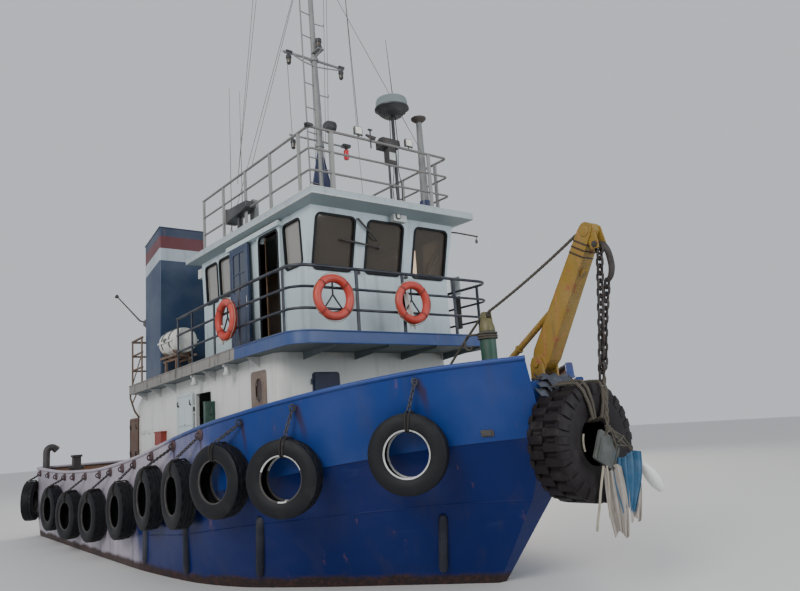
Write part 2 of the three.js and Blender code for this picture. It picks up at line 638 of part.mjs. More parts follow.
const SLIDING_LEAF = { aft: 1790, front: 2570, y: 1662, low: 3830, paneIn: 140, paneLow: 4950, paneHigh: 5700 };
function cabinLeaf(side) {
  const { aft, front, y, low, paneIn, paneLow, paneHigh } = SLIDING_LEAF;
  const middle = side * y;
  const leaf = box(aft, front, middle - LEAF / 2, middle + LEAF / 2, low, CABIN_DOOR.track - SEAT);
  return cut(leaf, box(aft + paneIn, front - paneIn, middle - LEAF, middle + LEAF, paneLow, paneHigh));
}

// Funnels, one each side behind the wheelhouse, with two exhaust pipes each
const EXHAUST = { x: [-1620, -1180], low: 6500, top: 7080, radius: 110 };
function funnel(side) {
  const { aft, front, outer, inner, frontTop, aftTop } = FUNNEL;
  const [y0, y1] = [Math.min(side * outer, side * inner), Math.max(side * outer, side * inner)];
  const body = sideways(outline([[aft, 3500], [front, 3500], [front, frontTop], [aft, aftTop]]), y0, y1);
  const middle = (y0 + y1) / 2;
  const { low, top, radius } = EXHAUST;
  const pipes = EXHAUST.x.map((x) => bar([x, middle, low], [x - 60, middle, top], radius, 10));
  return cut(join(body, ...pipes), belowBridge);
}

// Rails
const cornerArc = (x, y, radius, from, to, steps) =>
  Array.from({ length: steps + 1 }, (_, i) => {
    const angle = from + ((to - from) * i) / steps;
    return [x + radius * Math.cos(angle), y + radius * Math.sin(angle)];
  });

// A rail's line in plan, from the starboard side round the front to the port side
function railLine(aft, front, half, corner, steps = 2) {
  return [
    [aft, -half],
    ...cornerArc(front - corner, -half + corner, corner, -Math.PI / 2, 0, steps),
    ...cornerArc(front - corner, half - corner, corner, 0, Math.PI / 2, steps),
    [aft, half],
  ];
}

const POST_FLAT = 16; // half thickness of a rail post

function flatPost(x, y, low, high) {
  return box(x - 30, x + 30, y - POST_FLAT, y + POST_FLAT, low, high);
}

const BRIDGE_POSTS = { along: [235, 980, 2040, 3100, 4660, -1995, -2655], across: [-960, 0, 1190] };
function bridgeRail() {
  const { height, radius, half, front, corner } = RAIL;
  const raised = (points, rise) => points.map(([x, y]) => [x, y, bridgeTop(x) + rise]);
  const run = railLine(190, front, half, corner);
  const level = [run[0], [BRIDGE.levelFrom, -half], ...run.slice(1, -1), [BRIDGE.levelFrom, half], run.at(-1)];
  const aftRun = [[-1950, -half], [-2700, -half], [-2700, half], [-1950, half]];
  const parts = [];
  for (const share of [1, 0.67, 0.34]) {
    parts.push(railRun(raised(level, height * share), radius), railRun(raised(aftRun, height * share), radius));
  }
  parts.push(railRun(raised([[-2700, -1800], [-2700, -half], ...level, [-2700, half], [-2700, 1800]], 12), 20));
  for (const x of BRIDGE_POSTS.along) {
    for (const side of [STARBOARD, PORT]) {
      parts.push(flatPost(x, side * half, bridgeTop(x) - 10, bridgeTop(x) + height));
    }
  }
  for (const y of BRIDGE_POSTS.across) {
    parts.push(box(front - POST_FLAT, front + POST_FLAT, y - 30, y + 30, BRIDGE.top - 10, BRIDGE.top + height));
  }
  return cut(join(...parts), belowBridge);
}

const ROOF_POSTS = { side: [335, 1320, 2325, 3335, 4375], front: [-1100, 1100], half: 30 };
function roofRail() {
  const { height, radius, half, front, aft, corner } = ROOF_RAIL;
  const run = railLine(aft, front, half, corner);
  const parts = [1, 0.68, 0.36].map((share) =>
    railRun(run.map(([x, y]) => [x, y, ROOF.top + height * share]), radius));
  const [foot, head] = [ROOF.top + SEAT, ROOF.top + height];
  for (const x of ROOF_POSTS.side) {
    parts.push(flatPost(x, -half, foot, head), flatPost(x, half, foot, head));
  }
  for (const y of ROOF_POSTS.front) {
    const reach = ROOF_POSTS.half;
    parts.push(box(front - POST_FLAT, front + POST_FLAT, y - reach, y + reach, foot, head));
  }
  return join(...parts);
}

// Everything below the top of the wheelhouse roof
const belowRoof = box(ROOF.aft - 100, ROOF.front + 100, -ROOF.half, ROOF.half, 5000, ROOF.top + SEAT);

// Mast: a raked pole with webs at its foot, a ladder and a cross yard
const MAST = { x: 2665, top: 13200, rake: 0.02, radius: 78, tip: 45, yardZ: 10000, yardHalf: 750, yard: 28 };
const LADDER = { out: 300, fore: 40, low: 6650, top: 12300, step: 550, rail: 18, rung: 12 };
const mastX = (z) => MAST.x - (z - ROOF.top) * MAST.rake;
function mast() {
  const foot = ROOF.top + SEAT;
  const pole = bar([mastX(foot), 0, foot], [mastX(MAST.top), 0, MAST.top], MAST.radius, 10, MAST.tip);
  const web = outline([[-300, foot], [300, foot], [25, 7950], [-95, 7950]]);
  const foreAft = sideways(web, -8, 8).translate(MAST.x, 0, 0);
  const athwart = loft([
    [[-12, -450, foot], [12, -450, foot], [12, 450, foot], [-12, 450, foot]],
    [[-48, -60, 7900], [-24, -60, 7900], [-24, 60, 7900], [-48, 60, 7900]],
  ], fan(4)).translate(MAST.x, 0, 0);
  const { yardZ, yardHalf } = MAST;
  const yard = bar([mastX(yardZ), -yardHalf, yardZ], [mastX(yardZ), yardHalf, yardZ], MAST.yard);
  const { out, fore, low, top, step, rail, rung } = LADDER;
  const stile = (z) => [mastX(z) + fore, -out, z];
  const ladder = [bar(stile(foot), stile(top), rail, 5)];
  for (let z = low; z < top; z += step) ladder.push(bar(stile(z), [mastX(z), 0, z], rung, 5));
  return cut(join(pole, foreAft, athwart, yard, ...ladder), belowRoof);
}

// Radar: a post on the roof with a closed scanner housing
const RADAR = { x: 4480, y: 480, z: 8080, radius: 325, post: 32, leg: 24, legOff: 160 };
function radar() {
  const { x, y, z, radius: r, post: postRadius, leg: legRadius, legOff } = RADAR;
  const bowl = [[0, 0], [120, 0], [r * 0.92, 90], [r, 110]];
  const profile = [...bowl, [r, 150], [r * 0.94, 160], [r * 0.92, 300], [0, 325]];
  const points = profile.map(([a, h]) => new THREE.Vector2(a, h));
  const housing = new THREE.LatheGeometry(points, 16).rotateX(Math.PI / 2).translate(x, y, z);
  const post = bar([x, y, ROOF.top + SEAT], [x, y, z + 40], postRadius, 8);
  const panel = box(x - 70, x + 70, y - legOff - 30, y - 20, 7050, 7480);
  const leg = bar([x, y - legOff, ROOF.top + SEAT], [x, y - legOff, 7100], legRadius, 6);
  return join(housing, post, panel, leg);
}

const VENT_POST = { x: 4430, y: 1180, hat: 8100, low: 90, high: 55, base: 150, baseTop: 6420, baseHigh: 105 };
function ventPost() {
  const { x, y, hat: hatZ, low, high, base: baseRadius, baseTop, baseHigh } = VENT_POST;
  const foot = ROOF.top + SEAT;
  const column = bar([x, y, foot], [x, y, hatZ + 30], low, 10, high);
  const profile = [[0, 0], [60, 0], [150, 70], [150, 100], [0, 120]].map(([a, h]) => new THREE.Vector2(a, h));
  const hat = new THREE.LatheGeometry(profile, 12).rotateX(Math.PI / 2).translate(x, y, hatZ);
  return join(column, hat, bar([x, y, foot], [x, y, baseTop], baseRadius, 10, baseHigh));
}

// Life rings, tied to the rail
function lifeRing() {
  return new THREE.TorusGeometry(RING.middle, RING.tube, 6, 16);
}

const ringReach = RING.tube * Math.sin(Math.PI / 3); // the ring's tube is six-sided
const ringOff = RAIL.radius + ringReach + SEAT;
const LIFE_RINGS = [
  // name, place, and turn about Z of a ring that starts out facing forward
  ['life_ring_front_starboard', [RAIL.front + ringOff, -1470, RING.z], 0],
  ['life_ring_front_port', [RAIL.front + ringOff, 130, RING.z], 0],
  ['life_ring_side', [2740, -RAIL.half - ringOff, RING.z], -Math.PI / 2],
];

// Side tyres, hung on the bulwark. Columns: x, half breadth and z of the middle, angle of the face
// from straight abeam
const SIDE_TYRES = [
  [6871.5, 1609.3, 1880, 38.4], [5436.8, 2655.5, 1660, 36], [4289.9, 3089.7, 1650, 17],
  [2919.6, 3178.2, 1430, -3], [1539.4, 3181.7, 1330, -3], [-90, 3165.7, 1050, 0],
  [-1969.3, 3180.6, 860, 4], [-3737.8, 3205.7, 790, 8], [-5538.2, 3190.3, 860, 5],
  [-8090.8, 3173.1, 950, -27],
];

function tyreShape({ outer, inner, half }, segments) {
  const middle = inner + (outer - inner) * 0.55;
  return turned([
    [inner, -half * 0.6], [middle, -half], [outer, -half * 0.68],
    [outer, half * 0.68], [middle, half], [inner, half * 0.6],
  ], segments);
}

// Bow gear: a leaning boom with its back leg, hinged at its foot
const boomAngle = Math.atan2(BOOM.headZ - BOOM.footZ, BOOM.headX - BOOM.footX);
const boomLength = Math.hypot(BOOM.headZ - BOOM.footZ, BOOM.headX - BOOM.footX);

function boom() {
  const half = BOOM.width / 2;
  const [f, h] = [BOOM.footDepth / 2, BOOM.headDepth / 2];
  const beam = sideways(outline([
    [-40, -f * 0.55], [120, -f], [boomLength - 60, -h], [boomLength + 60, -h * 0.5],
    [boomLength + 60, h * 0.5], [boomLength - 60, h], [120, f], [-40, f * 0.55],
  ]), -half, half).rotateY(-boomAngle);
  const pin = bar([0, -half - FOOT_PIN.reach, 0], [0, half + FOOT_PIN.reach, 0], FOOT_PIN.radius, 10);
  return join(join(beam, pin).translate(BOOM.footX, 0, BOOM.footZ), boomStay(), ...chainLugs());
}

// Lugs under the boom's head, either side of the chain's shackle
const CHAIN_TOP = { x: 9030, z: 4330, pin: 30, lug: 74, lugPlate: 18, cheek: 55, rise: 260 };
function chainLugs() {
  const { x, z, pin, lug, lugPlate, cheek: half, rise } = CHAIN_TOP;
  return [STARBOARD, PORT].map((side) => {
    const y0 = side === PORT ? lug : -lug - lugPlate;
    const cheek = box(x - half, x + half, y0, y0 + lugPlate, z - half, z + rise);
    return cut(cheek, bar([x, y0 - 5, z], [x, y0 + lugPlate + 5, z], pin + 0.8, 20));
  });
}

// Lugs on the bow block, either side of the boom's foot, around its pin
const FOOT_PIN = { radius: 35, play: 0.8, reach: 75 };
const FOOT_LUG = { off: 12, thick: 40, half: 110, rise: 90 };
function boomLugs() {
  const near = BOOM.width / 2 + FOOT_LUG.off;
  const { footX, footZ } = BOOM;
  return [STARBOARD, PORT].map((side) => {
    const y0 = Math.min(side * near, side * (near + FOOT_LUG.thick));
    const y1 = y0 + FOOT_LUG.thick;
    const [x0, x1] = [footX - FOOT_LUG.half, footX + FOOT_LUG.half];
    const lug = box(x0, x1, y0, y1, BLOCK.top - 20, footZ + FOOT_LUG.rise);
    return cut(lug, bar([footX, y0 - 5, footZ], [footX, y1 + 5, footZ], FOOT_PIN.radius + FOOT_PIN.play, 20));
  });
}

// The back leg, which rests against the king post and swings with the boom
const BACK_LEG = { x: POST.x + POST.radius + 32, z: 2895, topX: 8160, topZ: 3620, radius: 45 };
const boomStay = () => bar([BACK_LEG.x, 0, BACK_LEG.z], [BACK_LEG.topX, 0, BACK_LEG.topZ], BACK_LEG.radius, 8);

function kingPost() {
  const { x, radius, top, head: headHigh, headRadius, base: baseHalf } = POST;
  const foot = deckHeight(x) - ROOT;
  const column = bar([x, 0, foot], [x, 0, top - headHigh], radius, 12);
  const head = bar([x, 0, top - headHigh], [x, 0, top], radius, 12, headRadius);
  const base = box(x - baseHalf, x + baseHalf, -baseHalf, baseHalf, foot, deckHeight(x) + 30);
  return cut(join(column, head, base), belowDeck);
}

// The chain, its rope sling and a plate as one hanging piece, from the boom's head
const CHAIN_RUN = { x: 8825, z: 2560, radius: 45 };
const SLING = { low: 1950, radius: 24 };
const CHAIN_PLATE = { half: 190, thick: 40, low: 1560, high: 1960 };
function hangingChain() {
  const { x, z } = CHAIN_TOP;
  const run = bar([x, 0, z], [CHAIN_RUN.x, 0, CHAIN_RUN.z], CHAIN_RUN.radius, 8);
  const reach = CHAIN_TOP.lug + CHAIN_TOP.lugPlate + 8;
  const shackle = bar([x, -reach, z], [x, reach, z], CHAIN_TOP.pin, 10);
  const sling = bar([CHAIN_RUN.x, 0, CHAIN_RUN.z], [CHAIN_RUN.x, 0, SLING.low], SLING.radius, 6);
  const { half, thick, low, high } = CHAIN_PLATE;
  const plate = box(CHAIN_RUN.x - thick / 2, CHAIN_RUN.x + thick / 2, -half, half, low, high);
  return join(run, shackle, sling, plate);
}

// Propellers and rudders
function propeller(side) {
  const blades = [0, 1, 2, 3].map((i) => {
    const blade = box(-30, 30, -170, 170, 60, SCREW.radius);
    return blade.rotateZ(side * 0.75).rotateX((i * Math.PI) / 2);
  });
  const hub = bar([-150, 0, 0], [205 - SEAT, 0, 0], SCREW.hub * 0.8, 12, SCREW.hub);
  return join(hub, ...blades).translate(SCREW.x, side * SCREW.y, SCREW.z);
}

function rudder(side) {
  const { stockX, chordAft, chordFore, half, low, high } = RUDDER;
  const y = side * SCREW.y;
  const plan = outline([
    [stockX - chordAft, y - 8], [stockX - 100, y - half], [stockX + chordFore - 60, y - half],
    [stockX + chordFore, y], [stockX + chordFore - 60, y + half], [stockX - 100, y + half],
    [stockX - chordAft, y + 8],
  ]);
  const stock = bar([stockX, y, high - 40], [stockX, y, STOCK.seat - SEAT], STOCK.radius, 10);
  return join(upwards(plan, low, high), stock);
}

// Towing hook, swinging on the tow post's cross beam
function towingHook() {
  const plan = new THREE.Shape();
  plan.moveTo(90, -60);
  plan.lineTo(90, 60);
  plan.lineTo(-300, 60);
  plan.absarc(-400, 60, 150, Math.PI / 6, Math.PI * 1.35, false);
  plan.absarc(-400, 60, 60, Math.PI * 1.35, Math.PI * 1.9, true);
  plan.lineTo(-300, -60);
  return upwards(plan, 0, 90, 4).translate(TOW_POST.x, 0, TOW_BEAM.high + SEAT);
}

// The assembly
const tug = new THREE.Group();
tug.name = 'tugboat';

function add(name, geometry, material, position = [0, 0, 0], rotation = [0, 0, 0]) {
  const mesh = new THREE.Mesh(geometry, material);
  mesh.name = name;
  mesh.position.set(...position);
  mesh.rotation.set(...rotation);
  tug.add(mesh);
  return mesh;
}

add('hull', join(hull(), ...boomLugs()), HULL_BLUE);
const starboardBulwark = sideBulwark();
add('bulwark_starboard', starboardBulwark, RAIL_BLUE);
add('bulwark_port', cut(mirrored(starboardBulwark), portNotch), RAIL_BLUE);
add('bulwark_stern', sternBulwark(), RAIL_BLUE);

add('deckhouse_front', houseFront(), OFF_WHITE);
add('deckhouse_starboard', houseSide(STARBOARD), OFF_WHITE);
add('deckhouse_port', houseSide(PORT), OFF_WHITE);
add('deckhouse_aft', houseAft(), OFF_WHITE);
add('bridge_deck', bridgeDeck(), DECK_GREY);
add('deckhouse_door_starboard', openHouseLeaf(STARBOARD), DOOR_WHITE);
add('deckhouse_door_port', openHouseLeaf(PORT), DOOR_WHITE);
add('deckhouse_door_aft', houseLeaf(HOUSE_DOORS.aft, STARBOARD), RUSTY);

add('wheelhouse_front', cabinFrontWall(), PALE_BLUE);
add('wheelhouse_starboard', cabinSide(STARBOARD), PALE_BLUE);
add('wheelhouse_port', cabinSide(PORT), PALE_BLUE);
add('wheelhouse_aft', cabinAftWall(), PALE_BLUE);
add('wheelhouse_roof', cabinRoof(), PALE_BLUE);
add('wheelhouse_door_starboard', cabinLeaf(STARBOARD), DOOR_BLUE);
add('wheelhouse_door_port', cabinLeaf(PORT), DOOR_BLUE);
add('steering_stand', steeringStand(), CONSOLE);

add('funnel_starboard', funnel(STARBOARD), FUNNEL_BLUE);
add('funnel_port', funnel(PORT), FUNNEL_BLUE);
add('bridge_rail', bridgeRail(), DARK_RAIL);
add('roof_rail', roofRail(), GREY_RAIL);
add('mast', mast(), MAST_GREY);
add('radar', radar(), RADAR_WHITE);
add('vent_post', ventPost(), GREY_RAIL);
add('life_raft', raftGeometry, RAFT_WHITE);

const ringGeometry = join(lifeRing().rotateY(Math.PI / 2));
for (const [name, place, turn] of LIFE_RINGS) add(name, ringGeometry, RING_ORANGE, place, [0, 0, turn]);

const tyreGeometry = join(tyreShape(TYRE, 12));
SIDE_TYRES.forEach(([x, y, z, angle], i) => {
  for (const [side, sideName] of [[STARBOARD, 'starboard'], [PORT, 'port']]) {
    const turn = (-side * angle * Math.PI) / 180;
    add(`tyre_${sideName}_${i + 1}`, tyreGeometry, RUBBER, [x, side * y, z], [0, 0, turn]);
  }
});
const bowTyreGeometry = join(tyreShape(BOW_TYRE, 18).rotateZ(Math.PI / 2));
add('bow_tyre', bowTyreGeometry, RUBBER, [BOW_TYRE.x, 0, BOW_TYRE.z]);

add('boom', boom(), BOOM_YELLOW);
add('king_post', kingPost(), POST_GREEN);
add('boom_chain', hangingChain(), CHAIN);

add('propeller_starboard', propeller(STARBOARD), BRONZE);
add('propeller_port', propeller(PORT), BRONZE);
add('rudder_starboard', rudder(STARBOARD), RED_LEAD);
add('rudder_port', rudder(PORT), RED_LEAD);
add('towing_hook', towingHook(), CHAIN);

export default tug;
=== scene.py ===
# Harbour tugboat, in metres, +X to the bow, +Y to port, +Z up, with the waterline at Z = 0
from math import atan2, cos, hypot, pi, radians, sin
from types import SimpleNamespace
import bpy
import bmesh
from mathutils import Matrix, Vector


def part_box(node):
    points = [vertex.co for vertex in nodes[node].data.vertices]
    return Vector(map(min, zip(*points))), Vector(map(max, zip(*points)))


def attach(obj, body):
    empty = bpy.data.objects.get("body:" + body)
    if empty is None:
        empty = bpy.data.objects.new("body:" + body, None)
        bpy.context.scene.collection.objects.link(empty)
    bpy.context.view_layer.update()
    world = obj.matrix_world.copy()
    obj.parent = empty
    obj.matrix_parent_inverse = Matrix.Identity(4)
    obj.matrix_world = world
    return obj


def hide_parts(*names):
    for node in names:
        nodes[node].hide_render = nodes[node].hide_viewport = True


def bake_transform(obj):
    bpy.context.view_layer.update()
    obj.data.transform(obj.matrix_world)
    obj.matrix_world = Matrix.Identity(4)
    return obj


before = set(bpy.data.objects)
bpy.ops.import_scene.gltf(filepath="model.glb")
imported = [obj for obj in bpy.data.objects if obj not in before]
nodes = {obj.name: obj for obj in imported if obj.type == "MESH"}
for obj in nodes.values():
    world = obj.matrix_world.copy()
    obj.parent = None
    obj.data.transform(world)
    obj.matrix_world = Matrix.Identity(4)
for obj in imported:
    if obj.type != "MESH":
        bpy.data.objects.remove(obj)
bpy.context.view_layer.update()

SIDES = {"starboard": -1, "port": 1}
X, Y, Z = Vector((1, 0, 0)), Vector((0, 1, 0)), Vector((0, 0, 1))


# Camera, where the photograph was taken from
def aim_camera():
    place, focal, width, sensor = Vector((14.212, -7.448, 2.229)), 702.42, 800, 36
    pitch, roll, yaw = radians(10.609), radians(4.114), radians(38.719)
    away = Vector((-cos(yaw) * cos(pitch), sin(yaw) * cos(pitch), sin(pitch)))
    level = away.cross(Z).normalized()
    raised = level.cross(away)
    right = level * cos(roll) - raised * sin(roll)
    up = raised * cos(roll) + level * sin(roll)
    data = bpy.data.cameras.new("camera")
    data.lens = focal / width * sensor
    data.sensor_width = sensor
    data.clip_end = 300
    camera = bpy.data.objects.new("camera", data)
    turn = Matrix((right, up, -away)).transposed().to_4x4()
    camera.matrix_world = Matrix.Translation(place) @ turn
    bpy.context.scene.collection.objects.link(camera)
    bpy.context.scene.camera = camera


aim_camera()


# Materials
class Shader:
    """One material's nodes, made by short calls that return sockets."""

    def __init__(self, name, rough=0.5, metal=0.0, **sockets):
        self.mat = bpy.data.materials.new(name)
        self.mat.use_nodes = True
        self.tree = self.mat.node_tree
        self.bsdf = self.tree.nodes["Principled BSDF"]
        self.set(roughness=rough, metallic=metal, **sockets)
        self.place = self.make("ShaderNodeTexCoord").outputs["Object"]

    def make(self, kind, **props):
        node = self.tree.nodes.new(kind)
        for key, value in props.items():
            setattr(node, key, value)
        return node

    def feed(self, socket, value):
        if isinstance(value, bpy.types.NodeSocket):
            self.tree.links.new(value, socket)
        elif hasattr(value, "__len__") and len(value) == 3 and len(socket.default_value) == 4:
            socket.default_value = (*value, 1)
        else:
            socket.default_value = value

    def set(self, **sockets):
        for key, value in sockets.items():
            self.feed(self.bsdf.inputs[key.replace("_", " ").title().replace("Ior", "IOR")], value)
        return self

    def stretched(self, stretch, shift):
        mapping = self.make("ShaderNodeMapping")
        mapping.inputs["Scale"].default_value = stretch
        mapping.inputs["Location"].default_value = shift
        self.feed(mapping.inputs["Vector"], self.place)
        return mapping.outputs["Vector"]

    def noise(self, scale, detail, stretch=(1, 1, 1), shift=(0, 0, 0), rough=0.55):
        node = self.make("ShaderNodeTexNoise")
        self.feed(node.inputs["Vector"], self.stretched(stretch, shift))
        node.inputs["Scale"].default_value = scale
        node.inputs["Detail"].default_value = detail
        node.inputs["Roughness"].default_value = rough
        return node.outputs["Fac"]

    def cells(self, scale):
        node = self.make("ShaderNodeTexVoronoi")
        self.feed(node.inputs["Vector"], self.place)
        node.inputs["Scale"].default_value = scale
        return node.outputs["Distance"]

    def step(self, source, low, high, to=(0.0, 1.0)):
        node = self.make("ShaderNodeMapRange", interpolation_type="SMOOTHSTEP")
        self.feed(node.inputs["Value"], source)
        for key, value in zip(("From Min", "From Max", "To Min", "To Max"), (low, high, *to)):
            node.inputs[key].default_value = value
        return node.outputs["Result"]

    def math(self, kind, a, b=0.0):
        node = self.make("ShaderNodeMath", operation=kind)
        self.feed(node.inputs[0], a)
        self.feed(node.inputs[1], b)
        return node.outputs[0]

    def add(self, a, b):
        return self.math("ADD", a, b)

    def sub(self, a, b):
        return self.math("SUBTRACT", a, b)

    def mul(self, a, b):
        return self.math("MULTIPLY", a, b)

    def mix(self, fac, a, b):
        node = self.make("ShaderNodeMix", data_type="RGBA")
        self.feed(node.inputs["Factor"], fac)
        self.feed(node.inputs[6], a)
        self.feed(node.inputs[7], b)
        return node.outputs[2]

    def axes(self):
        node = self.make("ShaderNodeSeparateXYZ")
        self.feed(node.inputs[0], self.place)
        return node.outputs

    def bump(self, height, strength, distance=0.01):
        node = self.make("ShaderNodeBump")
        self.feed(node.inputs["Height"], height)
        node.inputs["Strength"].default_value = strength
        node.inputs["Distance"].default_value = distance
        self.feed(self.bsdf.inputs["Normal"], node.outputs["Normal"])

    def dents(self, scale, depth, grain_scale=55, grain=0.12):
        """Heights of wide shallow dents with a fine grain."""
        return self.add(self.mul(self.noise(scale, 2), depth), self.mul(self.noise(grain_scale, 3), grain))


RUST = (0.16, 0.052, 0.02)
RUST_PALE = (0.36, 0.14, 0.06)
GRIME = (0.05, 0.045, 0.04)
DULL = 0.22  # how much an old coat or rubber reflects, where 0.5 is new paint


def weather(s, base, rust, grime, scale, chalk=0.05):
    """Paint with faded patches, grime runs and rust that breaks through; returns colour and rust mask."""
    fade = s.noise(0.9 * scale, 3)
    lighter = s.mix(s.step(fade, 0.35, 0.75), base, s.mix(chalk, base, (0.8, 0.8, 0.8)))
    runs = s.noise(5 * scale, 5, stretch=(1, 1, 0.12))
    dirty = s.mix(s.mul(s.step(runs, 0.5, 0.75), grime * 0.5), lighter, GRIME)
    blotch = s.noise(2.3 * scale, 6, rough=0.7)
    worn = s.step(blotch, 0.78 - 0.32 * rust, 0.84 - 0.3 * rust)
    trails = s.noise(7 * scale, 4, stretch=(1, 1, 0.1), shift=(3, 1, 2))
    drip = s.step(trails, 0.7 - 0.22 * rust, 0.86 - 0.2 * rust)
    tinted = s.mix(s.mul(drip, 0.55), dirty, RUST_PALE)
    tone = s.mix(s.noise(30, 3), RUST, RUST_PALE)
    return s.mix(worn, tinted, tone), worn


def painted(name, base, rough, rust, grime, scale, bump=0.25, metal=0.0):
    s = Shader(name, metal=metal)
    color, worn = weather(s, base, rust, grime, scale)
    s.set(base_color=color, roughness=s.add(s.mul(worn, 0.4), rough))
    s.bump(s.add(s.dents(1.1, 3, 60), s.mul(worn, 0.2)), bump)
    return s.mat


def rubber_finish(name, base, dust):
    s = Shader(name)
    grey = s.step(s.noise(3.5, 5, rough=0.65), 0.5, 0.78)
    color = s.mix(s.mul(grey, dust), base, (0.14, 0.135, 0.125))
    s.set(base_color=color, roughness=s.step(grey, 0, 1, (0.55, 0.85)), specular_ior_level=DULL)
    s.bump(s.add(s.noise(45, 4), s.mul(s.cells(28), 0.6)), 0.3, 0.004)
    return s.mat


def rope_finish(name, base):
    """Laid rope: slanted strands over a worn fibre colour."""
    s = Shader(name, 0.9)
    strands = s.make("ShaderNodeTexWave", wave_type="BANDS", bands_direction="DIAGONAL")
    s.feed(strands.inputs["Vector"], s.place)
    strands.inputs["Scale"].default_value = 22
    dark = s.mix(strands.outputs["Fac"], tuple(v * 0.45 for v in base), base)
    s.set(base_color=s.mix(s.step(s.noise(9, 4), 0.45, 0.75, (0, 0.5)), dark, GRIME))
    s.bump(strands.outputs["Fac"], 0.6, 0.004)
    return s.mat


# Worn coats: colour, roughness, rust, grime, scale of the pattern, then bump and metal where they differ
COATS = {
    "inside_rust": ((0.2, 0.11, 0.07), 0.7, 0.55, 0.6, 1.4),
    "eye_red": ((0.045, 0.014, 0.018), 0.6, 0.2, 0.4, 3),
    "deck_paint": ((0.1, 0.16, 0.13), 0.6, 0.5, 0.7, 1.2),
    "bead_white": ((0.5, 0.5, 0.49), 0.6, 0.2, 0.9, 5),
    "bead_dusty": ((0.04, 0.036, 0.033), 0.8, 0.08, 0.5, 5),
    "bar_dark": ((0.006, 0.008, 0.02), 0.6, 0.2, 0.3, 2),
    "dark_steel": ((0.05, 0.045, 0.045), 0.6, 0.45, 0.5, 3, 0.25, 0.3),
    "house_paint": ((0.66, 0.67, 0.65), 0.5, 0.2, 0.38, 0.9),
    "trim_white": ((0.56, 0.58, 0.57), 0.45, 0.3, 0.5, 2.0),
    "door_paint": ((0.52, 0.6, 0.62), 0.45, 0.18, 0.4, 2.2),
    "brown_paint": ((0.11, 0.065, 0.045), 0.7, 0.5, 0.6, 2.5),
    "fascia_grey": ((0.22, 0.212, 0.2), 0.8, 0.24, 1.0, 2.4, 0.5),
    "fascia_blue": ((0.02, 0.055, 0.18), 0.42, 0.12, 0.35, 1.4),
    # soffit_paint is painted shade: the white undersides of the bridge deck and its brackets take the dark
    # colour of their shadow
    "soffit_paint": ((0.12, 0.15, 0.17), 0.6, 0.25, 0.6, 1.4),
    "rail_blue": ((0.004, 0.007, 0.018), 0.38, 0.12, 0.3, 3),
    "rail_rust": ((0.13, 0.085, 0.06), 0.75, 0.62, 0.5, 3),
    "cover_blue": ((0.003, 0.009, 0.05), 0.5, 0.05, 0.12, 2),
    "rust_plate": ((0.19, 0.145, 0.12), 0.75, 0.42, 0.6, 4),
    "red_box": ((0.25, 0.03, 0.02), 0.5, 0.25, 0.5, 3),
    "locker_green": ((0.008, 0.05, 0.034), 0.4, 0.12, 0.4, 3),
    "pane_rust": ((0.035, 0.012, 0.008), 0.35, 0.3, 0.5, 4),
    "raft_white": ((0.6, 0.6, 0.56), 0.42, 0.06, 0.6, 2.2),
    "strap_grey": ((0.12, 0.12, 0.115), 0.8, 0.1, 0.6, 3),
    "ring_orange": ((0.44, 0.035, 0.018), 0.5, 0.03, 0.35, 3),
    "band_red": ((0.27, 0.03, 0.02), 0.7, 0.05, 0.5, 3),
    "holder_black": ((0.012, 0.013, 0.016), 0.5, 0.15, 0.3, 3),
    "door_blue": ((0.012, 0.028, 0.075), 0.35, 0.08, 0.35, 2),
    "wood_brown": ((0.16, 0.085, 0.045), 0.5, 0.05, 0.3, 3),
    "soot": ((0.02, 0.018, 0.017), 0.85, 0.35, 0.4, 3),
    "rail_grey": ((0.16, 0.15, 0.145), 0.5, 0.28, 0.5, 3),
    "post_grey": ((0.24, 0.24, 0.235), 0.5, 0.25, 0.5, 3),
    "mast_grey": ((0.19, 0.195, 0.195), 0.5, 0.22, 0.5, 2.5),
    "hat_brown": ((0.06, 0.048, 0.04), 0.7, 0.3, 0.5, 4),
    "gear_black": ((0.02, 0.021, 0.024), 0.45, 0.12, 0.3, 3),
    "web_blue": ((0.012, 0.022, 0.085), 0.4, 0.1, 0.3, 2),
    "dome_white": ((0.14, 0.175, 0.18), 0.4, 0.04, 0.4, 2.5),
    "boom_ochre": ((0.23, 0.135, 0.009), 0.5, 0.72, 0.75, 1.9, 0.4),
    "post_green": ((0.01, 0.06, 0.038), 0.5, 0.2, 0.5, 2.5),
    "post_yellow": ((0.1, 0.085, 0.02), 0.5, 0.35, 0.6, 3),
    "chain_brown": ((0.024, 0.018, 0.016), 0.65, 0.3, 0.4, 5, 0.25, 0.3),
    "matting": ((0.04, 0.05, 0.075), 0.85, 0.1, 0.8, 5, 0.5),
    "plate_grey": ((0.05, 0.055, 0.05), 0.7, 0.25, 0.5, 5),
    "float_white": ((0.72, 0.72, 0.7), 0.4, 0.03, 0.35, 6),
    "cloth_blue": ((0.018, 0.09, 0.18), 0.8, 0.0, 0.85, 7, 0.6),
    "cloth_pale": ((0.3, 0.27, 0.24), 0.9, 0.0, 0.8, 8, 0.5),
    "cloth_white": ((0.5, 0.48, 0.45), 0.9, 0.0, 0.7, 8, 0.5),
    "hook_steel": ((0.06, 0.055, 0.05), 0.5, 0.4, 0.4, 4, 0.25, 0.5),
    "bronze": ((0.42, 0.26, 0.1), 0.35, 0.0, 0.5, 3, 0.25, 0.9),
    "red_lead": ((0.17, 0.035, 0.025), 0.65, 0.25, 0.6, 1.6),
}
